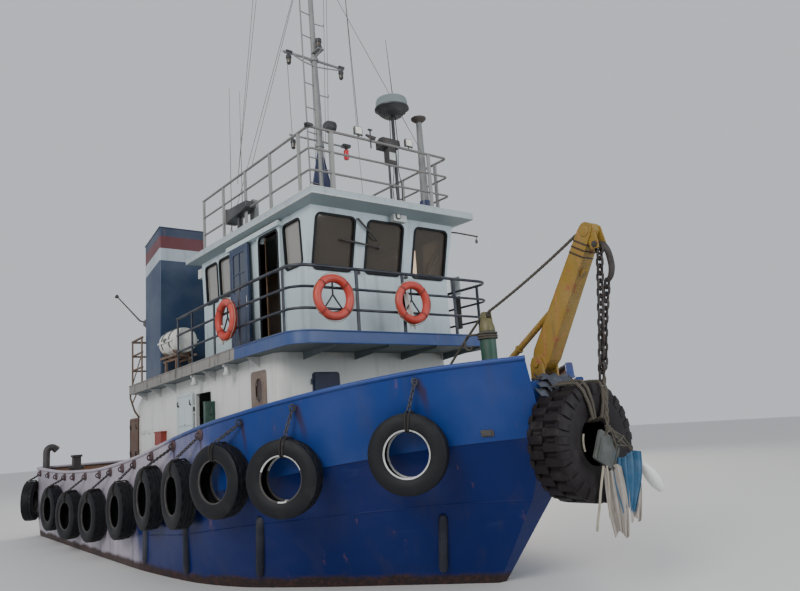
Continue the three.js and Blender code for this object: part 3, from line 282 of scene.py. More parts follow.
# Smooth finishes: colour, roughness, then how clear and how metallic where they are
SMOOTH = {
    "glass_brown": ((0.2, 0.165, 0.13), 0.05, 0.72),
    "glass_blue": ((0.035, 0.045, 0.065), 0.1),
    "glass_pale": ((0.33, 0.32, 0.3), 0.12, 0.3),
    "glass_dark": ((0.012, 0.012, 0.014), 0.08),
    "screen_black": ((0.004, 0.005, 0.006), 0.12),
    "lamp_glass": ((0.75, 0.73, 0.66), 0.1),
    "lamp_red": ((0.6, 0.02, 0.03), 0.25),
    "lamp_smoky": ((0.07, 0.06, 0.05), 0.15),
    "stay_wire": ((0.13, 0.125, 0.12), 0.5, 0.0, 0.6),
}
# Rubber: colour and dust
RUBBERS = {"rubber": ((0.009, 0.0095, 0.012), 0.12), "black_gum": ((0.008, 0.009, 0.011), 0.12),
           "old_rubber": ((0.012, 0.009, 0.01), 0.16)}
# Rope: colour
ROPES = {"rope_old": (0.11, 0.095, 0.075), "rope_dark": (0.03, 0.026, 0.024), "rope_pale": (0.42, 0.38, 0.3)}


def smooth_finish(name, color, rough, clear=0.0, metal=0.0):
    return Shader(name, rough, metal, base_color=color, transmission_weight=clear).mat


coat = SimpleNamespace(
    **{name: painted(name, *row) for name, row in COATS.items()},
    **{name: smooth_finish(name, *row) for name, row in SMOOTH.items()},
    **{name: rubber_finish(name, *row) for name, row in RUBBERS.items()},
    **{name: rope_finish(name, color) for name, color in ROPES.items()},
)


# Meshes
ON_AXIS = 1e-4  # radius of a profile's end on its axis, so that no face has a corner twice


class Piece:
    """Gathers faces, then becomes one named object that rides on a body."""

    def __init__(self, at=None):
        self.bm = bmesh.new()
        self.at = at or Matrix.Identity(4)

    def add(self, verts, faces, mat=0):
        made = [self.bm.verts.new(self.at @ Vector(v)) for v in verts]
        for corners in faces:
            face = self.bm.faces.new([made[i] for i in corners])
            face.material_index = mat
        return made

    def skin(self, rows, closed=False, capped=True, mat=0, ring=True):
        """Quads between rows of points; ring closes each row and closed joins the last row to the first."""
        width = len(rows[0])
        faces = []
        for i in range(len(rows) if closed else len(rows) - 1):
            n = (i + 1) % len(rows)
            for j in range(width if ring else width - 1):
                k = (j + 1) % width
                faces.append((i * width + j, i * width + k, n * width + k, n * width + j))
        if capped and not closed:
            faces.append(tuple(range(width))[::-1])
            faces.append(tuple((len(rows) - 1) * width + j for j in range(width)))
        return self.add([p for row in rows for p in row], faces, mat)

    def box(self, low, high, mat=0):
        (a, b, c), (d, e, f) = low, high
        return self.skin([[(a, b, z), (d, b, z), (d, e, z), (a, e, z)] for z in (c, f)], mat=mat)

    def block(self, x, y, half_x, half_y, low, high, mat=0):
        """A box about an upright line at x and y."""
        return self.box((x - half_x, y - half_y, low), (x + half_x, y + half_y, high), mat)

    def prism(self, outline, axis, low, high):
        """An outline pulled along axis; its points hold the other two coordinates in X, Y, Z order."""
        order = {"X": (2, 0, 1), "Y": (0, 2, 1), "Z": (0, 1, 2)}[axis]
        return self.skin([[[(u, v, w)[k] for k in order] for u, v in outline] for w in (low, high)])

    def tube(self, points, radius, sides, closed=False, mat=0):
        """A round bar along points; radius is one number, or one for each point."""
        points = [Vector(p) for p in points]
        count = len(points)
        radii = radius if hasattr(radius, "__len__") else [radius] * count
        rows, side = [], None
        for i, p in enumerate(points):
            before = points[i - 1] if (i or closed) else p
            after = points[(i + 1) % count] if (i + 1 < count or closed) else p
            first = (p - before).normalized() if p != before else Vector()
            second = (after - p).normalized() if p != after else Vector()
            heading = (first + second).normalized()
            if side is None:
                side = heading.cross(Z if abs(heading.z) < 0.9 else X).normalized()
            side = (side - heading * side.dot(heading)).normalized()
            other = heading.cross(side)
            turn = max(0.35, abs(heading.dot(second if second.length else first)))
            bend = second - first
            across = bend.normalized() if bend.length > 1e-6 else None
            row = []
            for j in range(sides):
                a = 2 * pi * j / sides
                v = (side * cos(a) + other * sin(a)) * radii[i]
                if across is not None:
                    v += across * v.dot(across) * (1 / turn - 1)
                row.append(p + v)
            rows.append(row)
        return self.skin(rows, closed=closed, mat=mat)

    def lathe(self, profile, base, axis, sides):
        """A profile of (radius, height) turned about an axis; it is closed on itself or ends on the axis."""
        turn = Z.rotation_difference(axis).to_matrix().to_4x4()
        at = Matrix.Translation(base) @ turn
        angles = [2 * pi * j / sides for j in range(sides)]
        rows = []
        for radius, height in profile:
            r = max(radius, ON_AXIS)
            rows.append([at @ Vector((r * cos(a), r * sin(a), height)) for a in angles])
        closed = profile[0] == profile[-1]
        return self.skin(rows[:-1] if closed else rows, closed=closed)

    def torus(self, centre, axis, radius, tube, sides, around):
        ring = [(radius + tube * cos(a), tube * sin(a)) for a in (2 * pi * i / around for i in range(around))]
        return self.lathe(ring + ring[:1], centre, axis, sides)

    def done(self, name, mats, body="tug", bevel=0.0, smooth=32, replaces=(), slot=None):
        bmesh.ops.recalc_face_normals(self.bm, faces=self.bm.faces)
        mesh = bpy.data.meshes.new(name)
        self.bm.to_mesh(mesh)
        self.bm.free()
        for mat in mats if isinstance(mats, (list, tuple)) else [mats]:
            mesh.materials.append(mat)
        mesh.shade_smooth()
        mesh.set_sharp_from_angle(angle=radians(smooth))
        return placed(bpy.data.objects.new(name, mesh), body, bevel, replaces)


def placed(obj, body="tug", bevel=0.0, replaces=()):
    bpy.context.scene.collection.objects.link(obj)
    if bevel:
        edge = obj.modifiers.new("edges", "BEVEL")
        edge.width = bevel
        edge.segments = 2
        edge.limit_method = "ANGLE"
        edge.angle_limit = radians(40)
        edge.harden_normals = False
    if body:
        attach(obj, body)
    if replaces:
        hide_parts(*replaces)
    return obj


def disc(radius, low, high):
    """Profile of a round plate."""
    return [(0, low), (radius, low), (radius, high), (0, high)]


def band(inner, outer, low, high):
    """Profile of a collar."""
    return [(inner, low), (outer, low), (outer, high), (inner, high), (inner, low)]


def smooth_line(points, steps):
    """Points on a monotone curve through the given ones, steps to each stretch."""
    size, count = len(points[0]), len(points)
    slopes = []
    for i in range(count):
        row = []
        for k in range(size):
            before = points[i][k] - points[i - 1][k] if i else None
            after = points[i + 1][k] - points[i][k] if i + 1 < count else None
            if before is None or after is None:
                row.append(after if before is None else before)
            else:
                row.append(0.0 if before * after <= 0 else 2 * before * after / (before + after))
        slopes.append(row)
    line = []
    for a, b, rise_a, rise_b in zip(points, points[1:], slopes, slopes[1:]):
        for s in range(steps):
            t = s / steps
            h = (2 * t**3 - 3 * t**2 + 1, t**3 - 2 * t**2 + t, 3 * t**2 - 2 * t**3, t**3 - t**2)
            line.append(tuple(sum(w * v for w, v in zip(h, four)) for four in zip(a, rise_a, b, rise_b)))
    line.append(tuple(points[-1]))
    return line


def arc(centre, radius, start, end, steps):
    """Points (u, v) on part of a circle, angles in degrees."""
    angles = [radians(start + (end - start) * i / steps) for i in range(steps + 1)]
    return [(centre[0] + radius * cos(a), centre[1] + radius * sin(a)) for a in angles]


def nose(front, half, corner, steps):
    """Round corners (x, y) of a forward end, from starboard to port."""
    x, y = front - corner, half - corner
    return arc((x, -y), corner, -90, 0, steps) + arc((x, y), corner, 0, 90, steps)


def rounded(u0, u1, v0, v1, radius, steps=4):
    """Outline of a rectangle with round corners."""
    corners = [(u1 - radius, v1 - radius, 0), (u0 + radius, v1 - radius, 90),
               (u0 + radius, v0 + radius, 180), (u1 - radius, v0 + radius, 270)]
    return [p for u, v, a in corners for p in arc((u, v), radius, a, a + 90, steps)]


def put(node, material):
    """A new finish on a node that keeps its shape."""
    mesh = nodes[node].data
    mesh.materials.clear()
    mesh.materials.append(material)


# Hull sections from stern to bow, starboard half: (x, half breadth, z) at the
# deck edge, topside, waterline, bilge and bottom
SECTIONS = [
    [(-8.2, 2.85, 0.95), (-8.2, 2.84, 0.45), (-8.18, 2.78, 0), (-8.12, 2.6, -0.25), (-8.05, 0.5, -0.33)],
    [(-8.16, 2.95, 0.948), (-8.16, 2.94, 0.45), (-8.14, 2.88, 0), (-8.08, 2.68, -0.26), (-8, 0.5, -0.335)],
    [(-8.05, 3, 0.945), (-8.05, 2.99, 0.45), (-8.03, 2.94, 0), (-7.97, 2.74, -0.27), (-7.9, 0.5, -0.345)],
    [(-5.4, 3, 0.89), (-5.4, 2.99, 0.45), (-5.4, 2.96, 0), (-5.4, 2.8, -0.33), (-5.4, 0.5, -0.42)],
    [(-2.8, 3, 0.92), (-2.8, 2.99, 0.5), (-2.8, 2.98, 0), (-2.8, 2.8, -1), (-2.8, 0.45, -1.55)],
    [(0, 3, 1.06), (0, 2.99, 0.6), (0, 2.98, 0), (0, 2.78, -1.1), (0, 0.4, -1.75)],
    [(2.4, 3, 1.3), (2.4, 2.96, 0.75), (2.4, 2.82, 0), (2.4, 2.4, -1.05), (2.4, 0.35, -1.75)],
    [(3.7, 2.96, 1.48), (3.7, 2.82, 0.9), (3.6, 2.48, 0), (3.5, 1.85, -1), (3.5, 0.28, -1.72)],
    [(4.5, 2.82, 1.6), (4.45, 2.56, 0.98), (4.35, 2.02, 0), (4.15, 1.4, -0.97), (4.15, 0.23, -1.68)],
    [(5.25, 2.48, 1.72), (5.15, 2.13, 1.04), (5, 1.53, 0), (4.7, 0.98, -0.93), (4.7, 0.18, -1.6)],
    [(6.2, 1.81, 1.86), (6, 1.44, 1.11), (5.7, 0.96, 0), (5.3, 0.52, -0.88), (5.25, 0.13, -1.5)],
    [(7.2, 1.016, 1.97), (6.95, 0.74, 1.16), (6.35, 0.43, 0), (5.8, 0.23, -0.83), (5.75, 0.1, -1.38)],
    [(8.1, 0.33, 2.02), (7.66, 0.2, 1.17), (6.78, 0.07, 0), (6.2, 0.06, -0.8), (6.1, 0.06, -1.25)],
]
# Top of the bulwark's rail over the same sections
RAIL_TOP = [
    (-8.23, 2.86, 1.86), (-8.187, 2.975, 1.857), (-8.075, 3.03, 1.85), (-5.4, 3.03, 1.76), (-2.8, 3.03, 1.8),
    (0, 3.03, 2.01), (2.4, 3.03, 2.35), (3.75, 3.01, 2.52), (4.65, 2.905, 2.62), (5.48, 2.61, 2.74),
    (6.39, 1.978, 2.89), (7.25, 1.295, 2.99), (8.13, 0.6, 3.03),
]
STEPS = 6  # stations from one section to the next
levels = [smooth_line([section[j] for section in SECTIONS], STEPS) for j in range(5)]
rail_line = smooth_line(RAIL_TOP, STEPS)
deck_line = levels[0]


def on_line(line, x):
    """Half breadth and height where a line along the hull passes x."""
    for a, b in zip(line, line[1:]):
        if a[0] <= x <= b[0]:
            t = (x - a[0]) / (b[0] - a[0])
            return a[1] + (b[1] - a[1]) * t, a[2] + (b[2] - a[2]) * t
    return line[-1][1:]


def deck_height(x):
    return on_line(deck_line, x)[1]


# Finishes of the hull and its bulwark
BLUE = (0.003, 0.012, 0.1)
# The bulwark's blue is the hull's coat made lighter: painted light, for upright plating that catches more
# light than the flared hull below
LIT_BULWARK_BLUE = (0.009, 0.037, 0.185)
# x and height of the bow eyes that rust runs down from
STREAKS = ((7.0, 2.83), (5.6, 2.62), (4.66, 2.48), (3.44, 2.34), (2.33, 2.2))
FADED = (0.36, 0.32, 0.38)


def hull_finish():
    s = Shader("hull_paint")
    x, _, z = s.axes()
    color, worn = weather(s, BLUE, 0.12, 0.35, 0.8, chalk=0.012)
    pale, _ = weather(s, FADED, 0.3, 0.85, 1.3)
    edge = s.add(x, s.mul(s.noise(0.9, 5, stretch=(1, 1, 0.6), rough=0.65), 3.4))
    color = s.mix(s.step(edge, 1.2, 2.7), pale, color)
    scuff = s.step(s.noise(3.2, 6, stretch=(0.35, 0.35, 1.4), rough=0.7), 0.6, 0.72)
    band = s.mul(scuff, s.step(z, 0.15, 0.7))
    color = s.mix(s.mul(band, 0.15), color, (0.05, 0.08, 0.2))
    wave = s.sub(z, s.mul(s.noise(1.6, 5, rough=0.6), 0.2))
    foul = s.mix(s.step(s.noise(14, 5, rough=0.7), 0.4, 0.7), (0.03, 0.021, 0.016), (0.075, 0.036, 0.022))
    low = s.step(wave, 0.09, 0.0)
    color = s.mix(s.mul(low, 0.92), color, foul)
    s.set(base_color=color, roughness=s.add(0.34, s.mul(s.math("MAXIMUM", worn, low), 0.4)),
          specular_ior_level=DULL)
    plates = s.mul(s.noise(1.15, 2, stretch=(1, 1, 1.3)), 4.5)
    fine = s.add(s.mul(s.noise(40, 4), 0.14), s.mul(low, s.noise(90, 3)))
    s.bump(s.add(plates, fine), 0.45, 0.012)
    return s.mat


def streaked(s, color, x, z):
    """Dark runs of rust below the eyes of the bow."""
    ragged = s.add(x, s.mul(s.noise(9, 3, stretch=(1, 1, 0.3)), 0.08))
    for along, top in STREAKS:
        beside = s.math("ABSOLUTE", s.sub(ragged, along + 0.04))
        run = s.mul(s.step(beside, 0.06, 0.01), s.step(z, top - 0.62, top - 0.08))
        below = s.mul(run, s.step(z, top + 0.05, top - 0.02))
        color = s.mix(s.mul(below, 0.75), color, (0.035, 0.014, 0.016))
    return color


def faded_finish(name, blue, turn_low, turn_high, rusty_port=False):
    """Blue paint that has gone chalky and pink towards the stern."""
    s = Shader(name)
    x, y, z = s.axes()
    blues, worn = weather(s, blue, 0.1, 0.35, 0.9, chalk=0.025)
    pale, _ = weather(s, FADED, 0.38, 0.75, 1.6)
    edge = s.add(x, s.mul(s.noise(0.9, 5, stretch=(1, 1, 0.6), rough=0.65), 3.4))
    color = s.mix(s.step(edge, turn_low, turn_high), pale, blues)
    if rusty_port:
        color = s.mix(s.step(y, 0.9, 1.3), color, (0.12, 0.065, 0.045))
    else:
        color = streaked(s, color, x, z)
    s.set(base_color=color, roughness=s.add(0.4, s.mul(worn, 0.35)), specular_ior_level=DULL)
    s.bump(s.dents(1.3, 4, 50, 0.15), 0.4, 0.012)
    return s.mat


hull_paint = hull_finish()
bulwark_paint_and_light = faded_finish("bulwark_paint_and_light", LIT_BULWARK_BLUE, 3.0, 5.4)
cap_paint = faded_finish("cap_paint", (0.02, 0.05, 0.2), 3.0, 4.8, rusty_port=True)


# Hull
SKEG = [(-7.05, -0.3), (-7.05, -1.9), (5, -1.9), (5.75, -1.3), (5, -1.4), (-2.5, -1.4), (-5, -0.3)]
RUBBING_BARS = [
    # upper end, lower end, starboard half: (x, half breadth, z)
    ((6.63, 0.89, 1.02), (6.3, 0.68, 0.22)),
    ((4.52, 2.57, 1.1), (4.03, 2.36, 0.2)),
    ((2.68, 2.95, 0.95), (2.42, 2.86, 0.15)),
    ((0.87, 2.99, 0.95), (0.73, 2.96, 0.15)),
]


def make_hull():
    p = Piece()
    rows = []
    for i in range(len(deck_line)):
        half = [levels[j][i] for j in range(5)]
        fine = []
        for a, b in zip(half, half[1:]):
            fine += [tuple(a[k] + (b[k] - a[k]) * t / 3 for k in range(3)) for t in range(3)]
        fine.append(half[-1])
        rows.append([(x, -y, z) for x, y, z in fine] + [(x, y, z) for x, y, z in reversed(fine)])
    p.skin(rows)
    p.bm.normal_update()
    for face in p.bm.faces:
        if face.normal.z > 0.9 and face.calc_center_median().z > 0.85:
            face.material_index = 1
    p.prism(SKEG, "Y", -0.11, 0.11)
    for top, foot in RUBBING_BARS:
        for side in SIDES.values():
            a, b = (Vector((x, side * y, z)) for x, y, z in (top, foot))
            p.tube([a, a.lerp(b, 0.05), a.lerp(b, 0.1), a.lerp(b, 0.92), b],
                   (0.035, 0.06, 0.066, 0.066, 0.05), 14, mat=3)
    for side in SIDES.values():
        p.tube([(x, side * y, z) for x, y, z in levels[1][2:]], 0.01, 6)
    p.done("hull_body", [hull_paint, coat.deck_paint, coat.dark_steel, coat.bar_dark], replaces=["hull"],
           smooth=24, slot="hull_blue")


make_hull()


# Bulwark: thin plating with stays inside, a rounded cap rail and eyes for the tyre ropes
def both_rails(line):
    return [(x, y, z) for x, y, z in reversed(line)] + [(x, -y, z) for x, y, z in line]


def inward(line, i):
    a, b = line[max(0, i - 1)], line[min(len(line) - 1, i + 1)]
    size = hypot(b[0] - a[0], b[1] - a[1])
    return Vector((-(b[1] - a[1]) / size, (b[0] - a[0]) / size, 0))


rail_all, deck_all = both_rails(rail_line), both_rails(deck_line)
INNER_FACE = 2  # which face of each row looks inboard
NOTCH = ((7.45, 3.15), (7.76, 2.74))  # x and z where the port bulwark slopes down beside the boom


def rail_top(top, base):
    """A point of the rail, lowered along the plating where the port bow is cut down."""
    (x0, z0), (x1, z1) = NOTCH
    if top[1] < 0.02 or top[0] < x0:
        return Vector(top)
    limit = z0 + (z1 - z0) * min(1, (top[0] - x0) / (x1 - x0))
    return Vector(base).lerp(Vector(top), min(1, (limit - base[2]) / (top[2] - base[2])))


def make_bulwark():
    plate, cap, stays = Piece(), Piece(), Piece()
    rows, cap_rows = [], []
    run = 0.0
    last = None
    for i, base in enumerate(deck_all):
        top = rail_top(rail_all[i], base)
        into = inward(rail_all, i)
        low, high = Vector(base) - 0.03 * Z, top - 0.05 * Z
        rows.append([low, high, high + into * 0.016, low + into * 0.016])
        middle = top + into * 0.033 - 0.035 * Z
        cap_rows.append([middle + into * u + Z * v for u, v in rounded(-0.06, 0.06, -0.034, 0.034, 0.03, 3)])
        run += (top - last).length if last is not None else 0
        last = top
        if run > 0.72 and abs(top[0]) < 7.9:
            run = 0.0
            heading = into.cross(Z) * 0.006
            inner, foot = into * 0.018, low + Z * 0.05
            tri = [foot + inner, foot + into * 0.26, foot + into * 0.26 + Z * 0.03, high + into * 0.07,
                   high + inner]
            stays.skin([[q - heading for q in tri], [q + heading for q in tri]])
    plate.skin(rows)
    cap.skin(cap_rows)
    width = len(rows[0])
    plate.bm.faces.ensure_lookup_table()
    for i in range(len(rows) - 1):
        plate.bm.faces[i * width + INNER_FACE].material_index = 1
    plate.done("bulwark_plating", [bulwark_paint_and_light, coat.inside_rust], smooth=30, slot="bulwark_blue",
               replaces=["bulwark_starboard", "bulwark_port", "bulwark_stern"])
    cap.done("bulwark_cap", cap_paint, smooth=50)
    stays.done("bulwark_stays", coat.inside_rust, bevel=0.003)


make_bulwark()


def link(p, centre, along, across, length, wire, mat):
    """One stadium-shaped chain link."""
    reach, width = length / 2, length * 0.3
    points = []
    for end in (1, -1):
        for k in range(5):
            a = pi * (k / 4 - 0.5)
            offset = along * (reach - width + width * cos(a)) + across * width * sin(a)
            points.append(Vector(centre) + end * offset)
    p.tube(points, wire, 6, closed=True, mat=mat)


def chain(p, line, length, wire, mat=0):
    """Links along a row of points, each turned a quarter from the one before."""
    line = [Vector(q) for q in line]
    pitch = length - 2.4 * wire
    run, count = 0.0, 0
    for a, b in zip(line, line[1:]):
        span = (b - a).length
        along = (b - a) / span
        first = along.cross(X if abs(along.x) < 0.8 else Y).normalized()
        while run < span:
            turn = Matrix.Rotation(pi / 2 * (count % 2), 3, along)
            link(p, a + along * run, along, turn @ first, length, wire, mat)
            run += pitch
            count += 1
        run -= span


# Eyes below the cap rail, starboard to match the photograph and the same to port
EYES = (-7.72, -6.76, -5.87, -4.99, -4.17, -3.12, -2.01, -1.22, -0.43, 0.3, 1.25, 2.33, 3.44, 4.66, 5.6, 7.0)
EYE_DROP = 0.14
FADED_EYES = 3.6  # aft of this each eye is welded to a red disc


def make_eyes():
    worn, plain = Piece(), Piece()
    for x in EYES:
        half, top = on_line(rail_line, x)
        for side in SIDES.values():
            at = Vector((x, side * (half + 0.012), top - EYE_DROP))
            p = worn if x < FADED_EYES else plain
            if p is worn:
                p.lathe([(0, 0), (0.09, 0), (0.105, 0.01), (0.085, 0.03), (0, 0.036)], at - Y * side * 0.02,
                        Y * side, 10)
            p.torus(at + Y * side * 0.022 - Z * 0.02, X, 0.044, 0.013, 14, 6)
    worn.done("bulwark_eyes", coat.eye_red)
    plain.done("bulwark_eyes_bow", coat.bar_dark)


make_eyes()


# Ways to lay flat work on a slanted wall: u along it, v up it and w out of it
def wall_frame(origin, along, up):
    out = along.cross(up)
    return Matrix.Translation(origin) @ Matrix((along, up, out)).transposed().to_4x4()


def ring_of(p, at, outer, inner, back, front):
    """A flat frame between two outlines with the same number of points."""
    rows = [[at @ Vector((u, v, w)) for u, v in line]
            for line, w in ((outer, front), (outer, back), (inner, back), (inner, front))]
    p.skin(rows, closed=True)


def pad_of(p, at, line, back, front):
    p.skin([[at @ Vector((u, v, w)) for u, v in line] for w in (back, front)])


def shrink(limits, by):
    return (limits[0] + by, limits[1] - by, limits[2] + by, limits[3] - by)


FRAME_DEPTH = 0.062  # how far a frame reaches back through its wall


def framed(p, at, limits, radius, lip, inside, out):
    """A frame round an opening: lip wide outside it, inside wide over it, out proud of the wall."""
    outer = rounded(*shrink(limits, -lip), radius + lip)
    inner = rounded(*shrink(limits, inside), max(radius - inside, 0.01))
    ring_of(p, at, outer, inner, -FRAME_DEPTH, out)


# Fittings welded to the hull; top, beam and z are over the water, other heights over the deck
SUNK = 0.02  # how far a fitting goes into the deck
TOWING_POSTS = {"x": -4.6, "y": 0.38, "top": 1.95, "beam": 1.56}
HATCH = {"x": -6.05, "half": 0.42, "coaming": 0.31, "lid": 0.339}
BITT = {"x": -6.3, "y": 2.45, "half": 0.095, "height": 1.182, "bar": 0.9}
GOOSENECK = {"x": -8.0, "y": 2.83, "radius": 0.092, "straight": 1.3, "bend": 0.13}
BOLLARD = {"x": 5.55, "y": 1.5, "apart": 0.34}
SHAFT = {"y": 1.25, "z": -1.05, "radius": 0.075}
RUDDER_X = -6.9


def make_bow_block():
    """Raised block inside the bow that carries the boom's foot."""
    block = Piece()
    rows = []
    for z, aft, fore in ((1.93, (7.45, 0.72), (8.085, 0.255)), (2.7, (7.45, 0.985), (8.085, 0.505))):
        rows.append([(x, -y, z) for x, y in (aft, fore)] + [(x, y, z) for x, y in (fore, aft)])
    block.skin(rows)
    block.done("bow_block", cap_paint, bevel=0.012)


def add_towing_posts(p):
    x, top, beam = (TOWING_POSTS[key] for key in ("x", "top", "beam"))
    base = deck_height(x) - SUNK
    for y in (-TOWING_POSTS["y"], TOWING_POSTS["y"]):
        p.block(x, y, 0.11, 0.09, base, top)
        p.block(x, y, 0.13, 0.11, top, top + 0.05)
        p.prism([(x + 0.11, base), (x + 0.11, 1.4), (x + 0.4, base)], "Y", y - 0.012, y + 0.012)
    p.block(x, 0, 0.09, 0.64, beam, beam + 0.16)


def add_hatch(p):
    x, half, coaming, lid = (HATCH[key] for key in ("x", "half", "coaming", "lid"))
    base = deck_height(x) - SUNK
    p.block(x, 0, half, half, base, base + coaming)
    p.block(x, 0, half - 0.01, half - 0.01, base + coaming, base + lid)
    for dog_x in (x - 0.3, x + 0.3):
        for y in (-0.47, 0.47):
            p.tube([(dog_x, y - 0.05, base + 0.2), (dog_x, y, base + 0.3)], 0.014, 8)
    for y in (-0.25, 0.25):
        p.lathe([(0, 0), (0.035, 0), (0.035, 0.018), (0, 0.02)], (x + 0.33, y, base + 0.338), Z, 10)


def add_stern_gear(p, side):
    """Shaft tube with its bearing and strut, and the rudder's tube."""
    y, z = side * SHAFT["y"], SHAFT["z"]
    p.tube([(-5.73, y, z), (-3.3, y, -0.87)], SHAFT["radius"], 20)
    bearing = [(0, 0), (0.1, 0), (0.125, 0.03), (0.125, 0.34), (0.095, 0.39), (0, 0.395)]
    p.lathe(bearing, (-5.745, y, z), X, 24)
    p.prism([(-5.64, -0.95), (-5.6, -0.35), (-5.48, -0.35), (-5.44, -0.95)], "Y", y - 0.025, y + 0.025)
    p.tube([(RUDDER_X, y, -0.25), (RUDDER_X, y, -0.358)], 0.095, 20)


def add_bitt(p, side):
    x, half, height, bar = (BITT[key] for key in ("x", "half", "height", "bar"))
    y, base = side * BITT["y"], deck_height(x) - SUNK
    p.block(x, y, half, half, base, base + height)
    p.block(x, y, half + 0.025, half + 0.025, base + height, base + height + 0.058)
    p.tube([(x, y - 0.2, base + bar), (x, y + 0.2, base + bar)], 0.035, 12)


def add_gooseneck(p, side):
    """Vent with its mouth turned inboard."""
    x, radius, straight, bend = (GOOSENECK[key] for key in ("x", "radius", "straight", "bend"))
    base = deck_height(x)
    turns = [radians(13 * k) for k in range(11)]
    line = [(0, -0.02), *[(bend * (1 - cos(a)), straight + bend * sin(a)) for a in turns], (0.275, 1.34)]
    path = [(x, side * (GOOSENECK["y"] - u), base + v) for u, v in line]
    p.tube(path, radius, 18)
    p.tube(path[-2:], radius + 0.009, 18)


def add_bollard(p, side):
    x, y, apart = BOLLARD["x"], side * BOLLARD["y"], BOLLARD["apart"]
    base = deck_height(x)
    post = [(0, -0.03), (0.075, -0.03), (0.075, 0.37), (0.088, 0.385), (0.088, 0.408), (0.07, 0.42),
            (0, 0.42)]
    for post_x in (x - apart / 2, x + apart / 2):
        p.lathe(post, (post_x, y, base), Z, 22)
    p.block(x, y, 0.3, 0.06, base + 0.13, base + 0.22)


def add_bow_fitting(p, side):
    """Small dark plate on the flare of the bow."""
    up = Vector((0.05, side * 0.22, 1)).normalized()
    at = wall_frame(Vector((7.53, side * 0.795, 2.075)), Vector((-0.79 * side, 0.61, 0)), up)
    pad_of(p, at, rounded(-0.085, 0.085, -0.045, 0.045, 0.02), -0.02, 0.02)
    pad_of(p, at, rounded(-0.06, 0.06, -0.03, 0.03, 0.015), 0.02, 0.032)


def make_hull_fittings():
    p = Piece()
    add_towing_posts(p)
    add_hatch(p)
    for side in SIDES.values():
        for add in (add_stern_gear, add_bitt, add_gooseneck, add_bollard, add_bow_fitting):
            add(p, side)
    p.done("deck_fittings", coat.dark_steel, bevel=0.005, smooth=38)


make_bow_block()
make_hull_fittings()


# Side tyres
TURNED = (38.4, 36, 17, -3, -3, 0, 4, 8, 5, -27)  # how far each face is turned from abeam, in degrees


def tyre_mesh(size, around, grooves, notch, depth):
    """Rows round the tyre; each is its section, from bead to bead over the tread and back inside."""
    outer, inner, half = (size[key] for key in ("outer", "inner", "half"))
    height = outer - inner
    wall = [(inner, half * 0.66), (inner - 0.004, half * 0.78), (inner + 0.016, half * 0.86),
            (inner + height * 0.2, half * 0.95), (inner + height * 0.45, half),
            (inner + height * 0.68, half * 0.97), (outer * 0.962, half * 0.86),
            (outer * 0.987, half * 0.78)]
    inside = [(outer * 0.93, half * 0.62), (inner + height * 0.5, half * 0.86), (inner + 0.02, half * 0.66)]
    flat = half * 0.72  # half width of the tread
    tread = []  # radius, place across and number of the rib, which is -1 in a groove
    ribs = grooves + 1
    for k in range(ribs):
        a, b = flat - 2 * flat * k / ribs, flat - 2 * flat * (k + 1) / ribs
        gap = 0.004 if 0 < k else 0
        end = 0.004 if k < ribs - 1 else 0
        crown = outer - 0.012 * abs((a + b) / 2 / flat) ** 2
        tread += [(crown, a - gap - 0.001, k), (crown, b + end + 0.001, k)]
        if end:
            tread += [(crown - depth, b + 0.003, -1), (crown - depth, b - 0.003, -1)]
    rows = []
    for i in range(around):
        section = list(wall)
        for r, y, rib in tread:
            edge = rib in (0, ribs - 1)
            phase = (i + (0 if rib % 2 else notch // 2)) % notch
            cut = rib >= 0 and phase < (2 if edge else 1)
            section.append((r - (depth * (1.0 if edge else 0.8) if cut else 0), y))
        section += [(r, -y) for r, y in reversed(wall)] + [(r, -y) for r, y in reversed(inside)] + inside
        a = 2 * pi * i / around
        rows.append([(r * cos(a), y, r * sin(a)) for r, y in section])
    return rows


TYRE = {"outer": 0.53, "inner": 0.3, "half": 0.15}
BOW_TYRE_SIZE = {"outer": 0.75, "inner": 0.3, "half": 0.29}
BEAD = {"radius": 0.312, "side": 0.09}  # the bead lies within this radius, this far out from the middle


def tyre_shape(kind):
    """A side tyre about its centre; its bead is white all round, white in an arch with a painted glint below,
    or dusty.
    """
    p = Piece()
    p.skin(tyre_mesh(TYRE, 108, 3, 6, 0.012), closed=True)
    for face in p.bm.faces:
        middle = face.calc_center_median()
        if hypot(middle.x, middle.z) < BEAD["radius"] and abs(middle.y) > BEAD["side"]:
            share = (atan2(middle.z, middle.x) / (2 * pi)) % 1
            # The white patch low in the bead is a painted glint; the arch above it is white
            arch_and_glint = 0.06 < share < 0.44 or 0.72 < share < 0.79
            face.material_index = 1 if kind == "ringed" or (kind == "arched" and arch_and_glint) else 2
    bmesh.ops.recalc_face_normals(p.bm, faces=p.bm.faces)
    mesh = bpy.data.meshes.new(f"tyre_{kind}")
    p.bm.to_mesh(mesh)
    mesh.shade_smooth()
    mesh.set_sharp_from_angle(angle=radians(40))
    for material in (coat.rubber, coat.bead_white, coat.bead_dusty):
        mesh.materials.append(material)
    return mesh


def make_tyres():
    for kind, members in (("ringed", (0,)), ("arched", (1,)), ("plain", range(2, len(TURNED)))):
        shape = tyre_shape(kind)
        for i in members:
            for name, side in SIDES.items():
                node = f"tyre_{name}_{i + 1}"
                low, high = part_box(node)
                turn = Matrix.Rotation(radians(-side * TURNED[i]), 4, "Z")
                at = Matrix.Translation((low + high) / 2) @ turn
                spin = Matrix.Rotation(radians(37 * i + 11) if kind == "plain" else 0, 4, "Y")
                mesh = shape.copy()
                mesh.transform(at @ spin)
                placed(bpy.data.objects.new(f"fender_{node}", mesh), replaces=[node])


make_tyres()

UPRIGHT = 2  # the foremost tyres hang straight down from their eyes
# Rope loop through a tyre: distance from its centre, distance outboard
LOOP = [(0.285, 0.1), (0.31, 0.142), (0.42, 0.164), (0.5, 0.145), (0.545, 0.1),
        (0.548, -0.1), (0.5, -0.143), (0.42, -0.156), (0.31, -0.135), (0.285, -0.1)]


